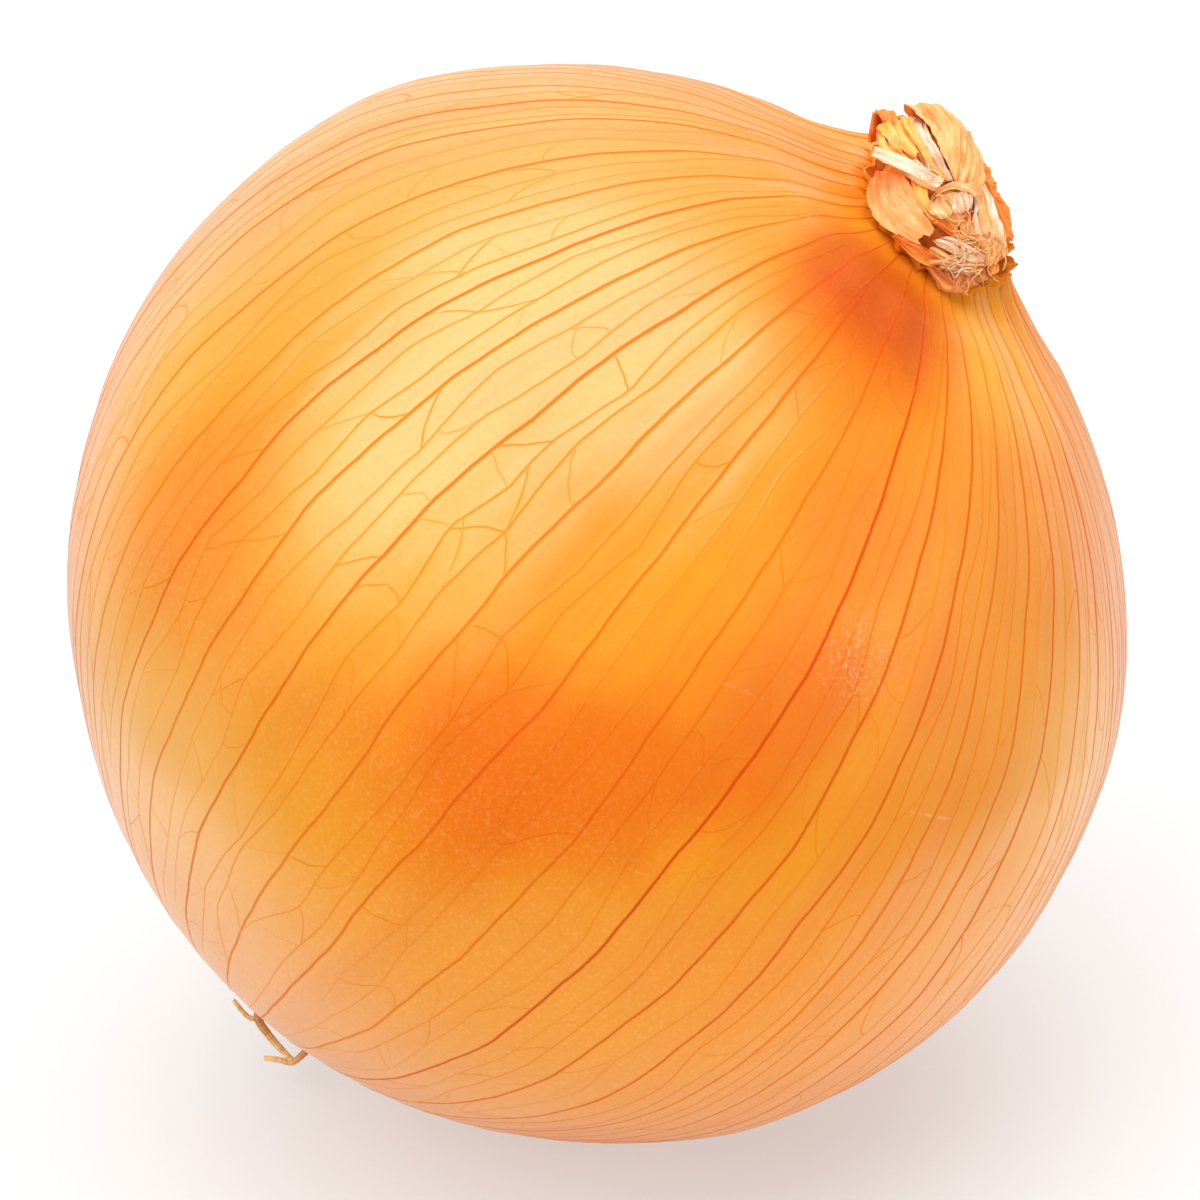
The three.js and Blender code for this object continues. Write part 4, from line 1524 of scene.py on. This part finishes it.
LEAVES = (
    Leaf(((-7.5, 0.4, -2.6), (-8.9, -0.1, 0.3), (-8.0, 0.2), (-7.5, 0.7)),
         ((-7.0, -2.4, -2.5), (-7.7, -1.2, 0.3), (-7.1, -0.7), (-6.8, 0.3)),
         0.2, Tint.ORANGE, ridges=1.5, paper=0.25),
    Leaf(((-7.4, -1.4, -1.0), (-7.4, 1.9), (-6.0, 3.4), (-4.1, 3.9), (-1.7, 3.6)),
         ((-6.8, -4.0, -0.9), (-7.3, -1.2), (-5.1, 0.7), (-3.0, 1.6), (-0.8, 1.9)),
         -0.3, Tint.GOLD, ridges=4.0, torn=0.5, root_tint=Tint.ORANGE),
    Leaf(((-6.4, -4.9, -0.6), (-5.9, -1.5), (-3.7, 0.4), (-2.1, 1.2), (-0.9, 2.1)),
         ((-5.2, -6.0, -0.3), (-4.8, -2.5), (-3.3, -1.0), (-1.9, 0.3), (-0.4, 1.5)),
         -0.25, Tint.PALE, ridges=3.0, torn=0.4, root_tint=Tint.ORANGE),
    Leaf(((-7.9, 1.3), (-6.9, 1.9), (-5.9, 2.4), (-4.8, 2.6)),
         ((-7.2, -1.3), (-5.9, 0.1), (-4.6, 1.1), (-2.7, 2.5)),
         0.1, Tint.GOLD, ridges=3.0, torn=1.3, ragged=0.12),
    Leaf(((-7.2, -1.3), (-6.1, 0.1), (-4.6, 1.2), (-2.8, 2.4), (-1.0, 2.8)),
         ((-6.4, -2.0), (-5.5, -0.6), (-4.1, 0.7), (-2.3, 1.9), (-0.7, 2.3)),
         0.2, Tint.GOLD, ridges=2.0, torn=0.8),
    Leaf(((-6.6, -4.0, -1.4), (-7.4, -3.2), (-5.7, -2.6), (-4.1, -1.4), (-3.1, -0.3), (-1.8, 0.8),
          (-0.3, 2.0)),
         ((-3.3, -6.3, -1.6), (-3.5, -5.6), (-2.5, -4.7), (-1.5, -3.5), (-0.9, -1.6), (-0.4, 0.2),
          (0.0, 1.9)),
         0.25, Tint.TAN, ridges=4.0, torn=0.2, bulge=1.0),
    Leaf(((-2.6, -6.0, -1.5), (-3.4, -4.9), (-2.1, -3.0), (-1.3, -1.4), (-0.7, 0.3), (-0.0, 2.2)),
         ((-0.6, -5.2, -1.6), (-2.0, -4.4), (-0.5, -3.2), (0.7, -1.7), (1.4, -0.3), (1.6, 1.8)),
         0.5, Tint.TAN, ridges=3.0, torn=0.2),
    Leaf(((-5.2, 4.6), (-3.3, 4.7), (-1.4, 4.4), (-0.3, 3.8)),
         ((-5.1, 4.1), (-3.3, 3.9), (-1.3, 3.8), (-0.3, 3.2)),
         0.35, Tint.STRAW, ridges=2.0, ridge_depth=0.12, torn=0.2),
    Leaf(((-6.6, 5.3, 0.5), (-5.2, 4.9, 0.2), (-3.2, 4.5), (-1.0, 4.1)),
         ((-6.9, 4.4, 0.5), (-5.4, 3.8, 0.2), (-3.4, 3.3), (-0.8, 3.0)),
         0.55, Tint.PALE, ridges=2.5, ridge_depth=0.06, torn=0.3, torn_start=0.12),
    Leaf(((-5.5, 4.7, -0.8), (-5.1, 5.8, -1.3), (-4.0, 6.7, -1.5), (-2.1, 7.2, -1.3), (-0.3, 7.3, -0.8),
          (1.3, 7.1, -0.3)),
         ((-4.0, 4.3), (-2.6, 4.9), (-1.5, 5.4), (-0.6, 5.8), (0.3, 6.0), (1.1, 6.2)),
         0.1, Tint.TAN, ridges=1.6, ridge_depth=0.07, torn=0.7, root_tint=Tint.ORANGE),
    Leaf(((-3.0, 4.4), (-2.1, 5.3), (-0.8, 5.8), (0.9, 5.9)),
         ((-2.0, 3.8), (-1.0, 4.8), (0.1, 5.1), (1.7, 4.7)),
         0.15, Tint.GOLD, ridges=2.5, torn=0.5),
    Leaf(((0.3, 6.1), (1.6, 5.9), (3.1, 5.7), (4.4, 5.2), (5.3, 4.9)),
         ((0.6, 5.6), (2.1, 5.2), (3.6, 4.9), (5.0, 4.5)),
         0.2, Tint.ORANGE, ridges=2.0, torn=0.3),
    Leaf(((-0.7, 5.7), (-0.6, 4.7), (-0.1, 3.6), (0.8, 2.9), (1.6, 2.6)),
         ((-0.9, 5.0), (-0.7, 3.8), (-0.1, 2.6), (0.9, 2.0), (1.8, 2.0)),
         0.95, Tint.STRAW, ridges=2.0, ridge_depth=0.12, torn=0.2),
    Leaf(((-0.9, 4.9), (-0.3, 5.8), (0.5, 5.8), (1.2, 5.7)),
         ((-0.1, 3.5), (0.6, 3.7), (1.3, 3.8), (1.6, 4.3)),
         0.6, Tint.STRAW, ridges=3.5, ridge_depth=0.2, torn=0.4),
    Leaf(((0.2, 3.8), (1.1, 4.7), (1.7, 4.6)),
         ((0.8, 2.6), (1.6, 2.7), (2.2, 3.5)),
         0.75, Tint.PALE, ridges=2.5, ridge_depth=0.16, torn=0.3),
    Leaf(((0.2, 5.4), (1.3, 5.4), (2.3, 4.9)),
         ((1.1, 4.4), (1.8, 4.2), (2.4, 3.7)),
         0.45, Tint.TAN, ridges=3.0, ridge_depth=0.18, torn=0.4),
    Leaf(((1.0, 5.3), (2.1, 5.5), (2.9, 5.7), (3.8, 5.7)),
         ((1.4, 4.8), (2.4, 5.0), (3.2, 5.2), (4.1, 5.1)),
         0.15, Tint.GOLD, ridges=2.0, torn=0.4),
    Leaf(((1.7, 4.7), (2.6, 5.0), (3.5, 5.3), (4.5, 5.2)),
         ((2.0, 4.1), (2.9, 4.5), (3.7, 4.8), (4.8, 4.8)),
         0.3, Tint.STRAW, ridges=2.0, torn=0.3),
    Leaf(((2.0, 4.0), (2.9, 4.7), (3.7, 5.0), (4.8, 5.0)),
         ((2.2, 3.7), (3.1, 4.2), (3.9, 4.5), (4.9, 4.4)),
         0.4, Tint.TAN, ridges=1.5, torn=0.2),
    Leaf(((1.3, -1.0), (2.9, 0.1), (4.5, 1.0), (5.9, 2.0)),
         ((1.6, -1.2), (3.5, -0.2), (5.4, 0.6), (6.5, 0.7)),
         -0.1, Tint.ORANGE, ridges=2.5, ragged=0.1),
    Leaf(((1.0, 0.7), (2.1, 2.4), (2.9, 3.8), (3.7, 4.5), (4.9, 4.4)),
         ((1.4, -0.1), (2.9, 0.5), (4.6, 1.5), (5.6, 2.2), (6.5, 2.8)),
         0.4, Tint.PALE, ridges=5.0, ridge_depth=0.14, torn=0.3),
    Leaf(((1.6, 1.3), (2.5, 2.7), (3.6, 3.7), (4.4, 4.1)),
         ((1.7, 0.8), (3.1, 1.8), (4.3, 2.6), (5.4, 3.2)),
         0.62, Tint.STRAW, ridges=3.0, ridge_depth=0.14, torn=0.6),
    Leaf(((3.3, 4.8), (4.5, 4.9), (5.4, 5.1), (5.9, 5.7)),
         ((4.4, 3.8), (5.5, 3.2), (6.4, 3.0), (6.5, 4.6)),
         0.55, Tint.TAN, ridges=4.0, ridge_depth=0.16, torn=0.3),
    Leaf(((5.5, 5.3), (4.3, 5.9), (2.9, 6.3), (1.8, 6.7)),
         ((5.3, 5.1), (4.1, 5.6), (2.8, 6.0), (1.8, 6.5)),
         0.75, Tint.PALE, ridges=1.5, ridge_depth=0.12, torn=0.5),
    Leaf(((5.7, 5.6), (4.5, 6.4), (2.8, 6.9), (1.4, 7.2)),
         ((5.5, 5.3), (4.2, 6.0), (2.7, 6.4), (1.6, 6.8)),
         0.7, Tint.PALE, ridges=1.5, ridge_depth=0.12, torn=0.5),
    Leaf(((5.9, 5.7), (4.8, 6.7), (3.5, 7.4), (2.4, 8.0)),
         ((5.6, 5.4), (4.5, 6.4), (3.3, 7.1), (2.3, 7.8)),
         0.55, Tint.STRAW, ridges=1.5, ridge_depth=0.14, torn=0.4),
    Leaf(((4.1, 6.9), (3.3, 7.3), (2.3, 7.5), (1.6, 7.6)),
         ((4.0, 6.6), (3.2, 6.9), (2.3, 7.1), (1.6, 7.3)),
         0.6, Tint.STRAW, ridges=1.5, ridge_depth=0.14, torn=0.4),
    Leaf(((5.9, 6.0), (5.4, 6.7), (4.4, 7.2), (3.2, 7.8)),
         ((5.8, 5.6), (5.1, 6.4), (4.2, 7.0), (3.1, 7.6)),
         0.5, Tint.STRAW, ridges=1.5, ridge_depth=0.14, torn=0.3),
    Leaf(((5.6, 6.1), (5.8, 6.6), (5.3, 6.9), (4.6, 6.9)),
         ((5.9, 5.7), (6.0, 6.4), (5.5, 6.8), (4.7, 6.7)),
         0.65, Tint.PALE, ridges=1.5, ridge_depth=0.12, torn=0.3),
    Leaf(((5.7, 4.9), (6.4, 5.3), (6.7, 6.0)),
         ((6.3, 4.3), (6.9, 4.6), (6.9, 5.3)),
         0.4, Tint.TAN, ridges=2.0, ridge_depth=0.14, torn=0.4),
    Leaf(((2.5, 7.8), (3.5, 7.9), (4.9, 7.9), (5.6, 7.5)),
         ((3.6, 7.1), (4.9, 6.7), (5.9, 6.0), (6.3, 5.1)),
         -0.2, Tint.BROWN, ridges=3.0, ridge_depth=0.2, torn=0.5, ragged=0.15),
    Leaf(((4.7, 7.0), (5.0, 7.4), (5.6, 7.6), (6.1, 7.0)),
         ((6.1, 5.1), (6.4, 5.5), (6.9, 5.3), (6.7, 5.0)),
         0.0, Tint.BROWN, ridges=2.5, ridge_depth=0.2, torn=0.5, ragged=0.15),
    Leaf(((-1.2, 7.7), (0.4, 7.8), (2.0, 7.7), (3.2, 7.3)),
         ((-0.9, 7.4), (0.4, 7.2), (1.7, 6.9), (3.0, 6.5)),
         -0.5, Tint.ORANGE, ridges=4.0),
)


TUFTS = (
    Tuft(4.6, 5.2, 150.0, 11, Tint.STRAW, 0.8, 3.2, 25.0, 0.5),
    Tuft(4.9, 6.0, 165.0, 8, Tint.PALE, 0.8, 2.6, 35.0, 0.5),
    Tuft(5.2, 5.0, 60.0, 6, Tint.TAN, 0.75, 2.0, 60.0, 0.6),
    Tuft(4.9, 6.9, 110.0, 10, Tint.BROWN, 0.4, 1.8, 70.0, 0.8),
    Tuft(0.2, 5.2, -60.0, 6, Tint.STRAW, 1.1, 2.0, 60.0, 0.5),
    Tuft(0.9, 3.4, 20.0, 4, Tint.PALE, 1.2, 1.6, 80.0, 0.5),
    Tuft(2.6, 4.2, 70.0, 9, Tint.TAN, 0.75, 2.2, 35.0, 0.5),
    Tuft(-1.6, 3.9, 200.0, 8, Tint.PALE, 0.75, 2.2, 15.0, 0.35),
    Tuft(4.8, 3.0, 70.0, 8, Tint.STRAW, 0.8, 2.6, 20.0, 0.5))


@dataclass
class Roots:
    """The corky root plate and its dry roots."""

    seed: int = 7
    plate_radius: float = 7.0
    plate_seat: float = -42.35
    plate_crown: float = -44.25
    root_count: int = 46
    root_turn: float = 2.39996
    root_spread: float = 0.86
    root_length: tuple[float, float] = (1.6, 3.6)
    root_lean: tuple[float, float] = (0.3, 1.1)
    root_thickness: float = 0.26
    root_sunk: float = 0.6
    dish: float = 1.2
    seen: tuple[tuple[tuple[Point, ...], float], ...] = (
        (((2.7, 4.6, -45.9), (2.1, 5.0, -46.9), (1.44, 5.0, -47.45), (0.5, 5.0, -47.42),
          (-0.6, 5.0, -47.2)), 0.28),
        (((1.3, 4.6, -46.0), (2.15, 5.0, -47.0), (3.65, 5.0, -47.45), (5.4, 5.0, -47.7),
          (6.7, 4.9, -47.85)), 0.42),
        (((7.0, 4.4, -45.2), (6.95, 4.9, -46.9), (6.74, 5.0, -47.9), (5.7, 5.0, -48.6),
          (4.7, 5.0, -49.4)), 0.36))

    def plate(self, draw: random.Random) -> bpy.types.Object:
        """Builds the rough domed plate.

        Args:
            draw: The seeded source of numbers.

        Returns:
            The plate.
        """
        shell = Shell()
        turns = np.linspace(0, TURN, 97)
        radii = np.linspace(0.0, self.plate_radius, 26)[:, None]
        bumps, rings = Wobble(draw, 1.1, 4), Wobble(draw, 2.2, 3)
        x, y = radii * np.cos(turns), radii * np.sin(turns)
        rough = 0.16 * bumps(x + 3) * bumps(y) + 0.1 * rings(radii)
        slope = 1 - (radii / (self.plate_radius * 1.0001)) ** 2
        depth = (self.plate_seat - self.plate_crown) * np.sqrt(slope)
        under = np.stack([x, y, self.plate_seat - depth - rough], -1)
        top = under.copy()
        top[..., 2] = self.plate_seat
        colours = Tint.CORK.worn_by(np.clip(0.5 + rough * 2.5, 0, 1)[..., None])
        shell.add_sheet(top, under, colours, under * (2.0, 8.0, 1.0))
        plate = shell.piece("root_plate", LeafFinish(name="cork", rough=0.7).material(), PLACE.to_room)
        return dress(plate, "root", "roots")

    def strands(self, draw: random.Random) -> bpy.types.Object:
        """Builds the roots: guessed ones all over the plate, and the seen ones past its edge.

        Args:
            draw: The seeded source of numbers.

        Returns:
            The roots.
        """
        strands = Strands()
        share = np.linspace(0.0, 1.0, 12)
        for number in range(self.root_count):
            bearing = number * self.root_turn
            out = self.root_spread * math.sqrt((number + 0.5) / self.root_count)
            length = draw.uniform(*self.root_length)
            lean = draw.uniform(*self.root_lean)
            sway, bend = Wobble(draw, 2.2), Wobble(draw, 3.0)
            radius = self.plate_radius * out + length * share * math.sin(lean)
            direction = bearing + 0.18 * sway(share * length) * share
            drop = self.plate_crown + self.root_sunk + self.dish * out ** 3
            drop = drop - length * share * math.cos(lean) + 0.25 * bend(share * length)
            line = np.column_stack([radius * np.cos(direction), radius * np.sin(direction), drop])
            strands.add(line, self.root_thickness * draw.uniform(0.7, 1.2), 0.54, Tint.CORK)
        for points, thickness in self.seen:
            across, towards, height = spline(points, 26).T
            line = np.outer(across, PLACE.across) + np.outer(towards, PLACE.towards)
            line[:, 2] = height
            strands.add(line, thickness, 0.35, Tint.ROOT)
        material = LeafFinish(name="dry_root", rough=0.65).material()
        return strands.piece("dry_roots", 7, material, PLACE.to_room, "root", "roots")

    def build(self) -> list[bpy.types.Object]:
        """Builds the plate and the roots."""
        draw = random.Random(self.seed)
        return [self.plate(draw), self.strands(draw)]


@dataclass(frozen=True)
class Fill:
    """A wide soft light from one side that fills the shade and shows in no reflection."""

    name: str
    bearing: float
    height: float
    strength: float
    spread: float = 60.0

    def place(self) -> None:
        """Adds the light to the scene."""
        lamp = bpy.data.lights.new(self.name, "SUN")
        lamp.energy = self.strength * math.pi
        lamp.angle = math.radians(self.spread)
        light = bpy.data.objects.new(self.name, lamp)
        light.rotation_euler = (math.radians(90.0 - self.height), 0.0, math.radians(self.bearing))
        light.visible_glossy = False
        bpy.context.scene.collection.objects.link(light)


FILLS = (Fill("fill_left", -45.0, 2.0, 0.15), Fill("fill_front", 5.0, 3.0, 0.25),
         Fill("fill_right", 62.0, 3.0, 0.45), Fill("fill_back", 170.0, 25.0, 0.2))


@dataclass(frozen=True)
class Studio:
    """The soft light of the room: a softbox overhead that reaches to the left, and a pale backdrop."""

    softbox: float = 3.3
    walls: float = 0.35
    base: float = 0.025
    seen: float = 1.05
    side_softbox: Point = (-0.5, -0.35, 0.79)

    @staticmethod
    def disc(sheet: Sheet, nearness: Value, reach: float, core: float) -> Value:
        """Gives a soft disc of light that fades from a core to its reach, in degrees from its middle."""
        return sheet.eased(nearness, math.cos(math.radians(reach)), math.cos(math.radians(core)))

    def build(self) -> None:
        """Sets the world's light and adds the fills."""
        world = bpy.data.worlds.new("studio")
        bpy.context.scene.world = world
        world.use_nodes = True
        world.node_tree.nodes.clear()
        sheet = Sheet(world.node_tree)
        x, y, z = sheet.parts(sheet.node("ShaderNodeTexCoord").outputs["Generated"])
        left, front, up = self.side_softbox
        overhead = self.disc(sheet, z, 42, 20)
        beside = self.disc(sheet, x * left + y * front + z * up, 40, 16)
        softbox = sheet.math("MAXIMUM", overhead, beside) * self.softbox
        backdrop = sheet.eased(y, 0.1, 0.8)
        walls = sheet.eased(sheet.math("ABSOLUTE", x), 0.75, 1.0) * self.walls
        strength = self.base + sheet.math("MAXIMUM", softbox, sheet.math("MAXIMUM", backdrop, walls))
        seen = sheet.out(sheet.node("ShaderNodeLightPath"), "Is Camera Ray")
        strength = sheet.math("MAXIMUM", strength * (1.0 - seen), seen * self.seen)
        background = sheet.node("ShaderNodeBackground", values={"Color": WHITE, "Strength": strength})
        sheet.node("ShaderNodeOutputWorld", values={"Surface": background.outputs[0]})
        for fill in FILLS:
            fill.place()


@dataclass(frozen=True)
class Floor(Finish):
    """The round pale floor under the onion."""

    name: str = "pale_floor"
    radius: float = 0.1
    drop: float = 0.1 * MM
    sides: int = 96
    grey: Colour = (0.36, 0.36, 0.36)
    glow: float = 0.46

    def build(self) -> None:
        """Lays the floor."""
        turns = np.arange(self.sides) * TURN / self.sides
        points = np.column_stack([self.radius * np.cos(turns), self.radius * np.sin(turns),
                                  np.full(self.sides, -self.drop)])
        floor = new_piece("floor", points, faces=[range(self.sides)])
        material, sheet, surface = self.start()
        sheet.feed_all(surface, {"Base Color": (*self.grey, 1.0), "Roughness": 0.8,
                                 "Emission Color": WHITE, "Emission Strength": self.glow})
        floor.data.materials.append(material)


@dataclass(frozen=True)
class View:
    """The camera, at the height and distance that the onion is seen from."""

    pitch: float = math.radians(26.6)
    distance: float = 0.4
    aim: Point = (-0.1 * MM, 0.24 * MM, 43.68 * MM)
    lens: float = 144.0
    sensor: float = 36.0
    nearest: float = 0.01

    def build(self) -> None:
        """Places the camera."""
        lens = bpy.data.cameras.new("camera")
        lens.lens, lens.sensor_width, lens.clip_start = self.lens, self.sensor, self.nearest
        camera = bpy.data.objects.new("camera", lens)
        bpy.context.scene.collection.objects.link(camera)
        back = np.array([0.0, -math.cos(self.pitch), math.sin(self.pitch)])
        camera.location = np.array(self.aim) + self.distance * back
        camera.rotation_euler = (math.pi / 2 - self.pitch, 0.0, 0.0)
        bpy.context.scene.camera = camera
        bpy.context.scene.view_settings.view_transform = "Standard"


def main() -> None:
    """Builds the onion piece by piece."""
    logging.basicConfig(level=logging.INFO, format="%(name)s: %(message)s")
    View().build()
    Studio().build()
    Floor().build()
    skin = Skin()
    Veins(skin).build(skin.build())
    DryNeck(leaves=LEAVES, tufts=TUFTS).build()
    Roots().build()


if __name__ == "__main__":
    main()
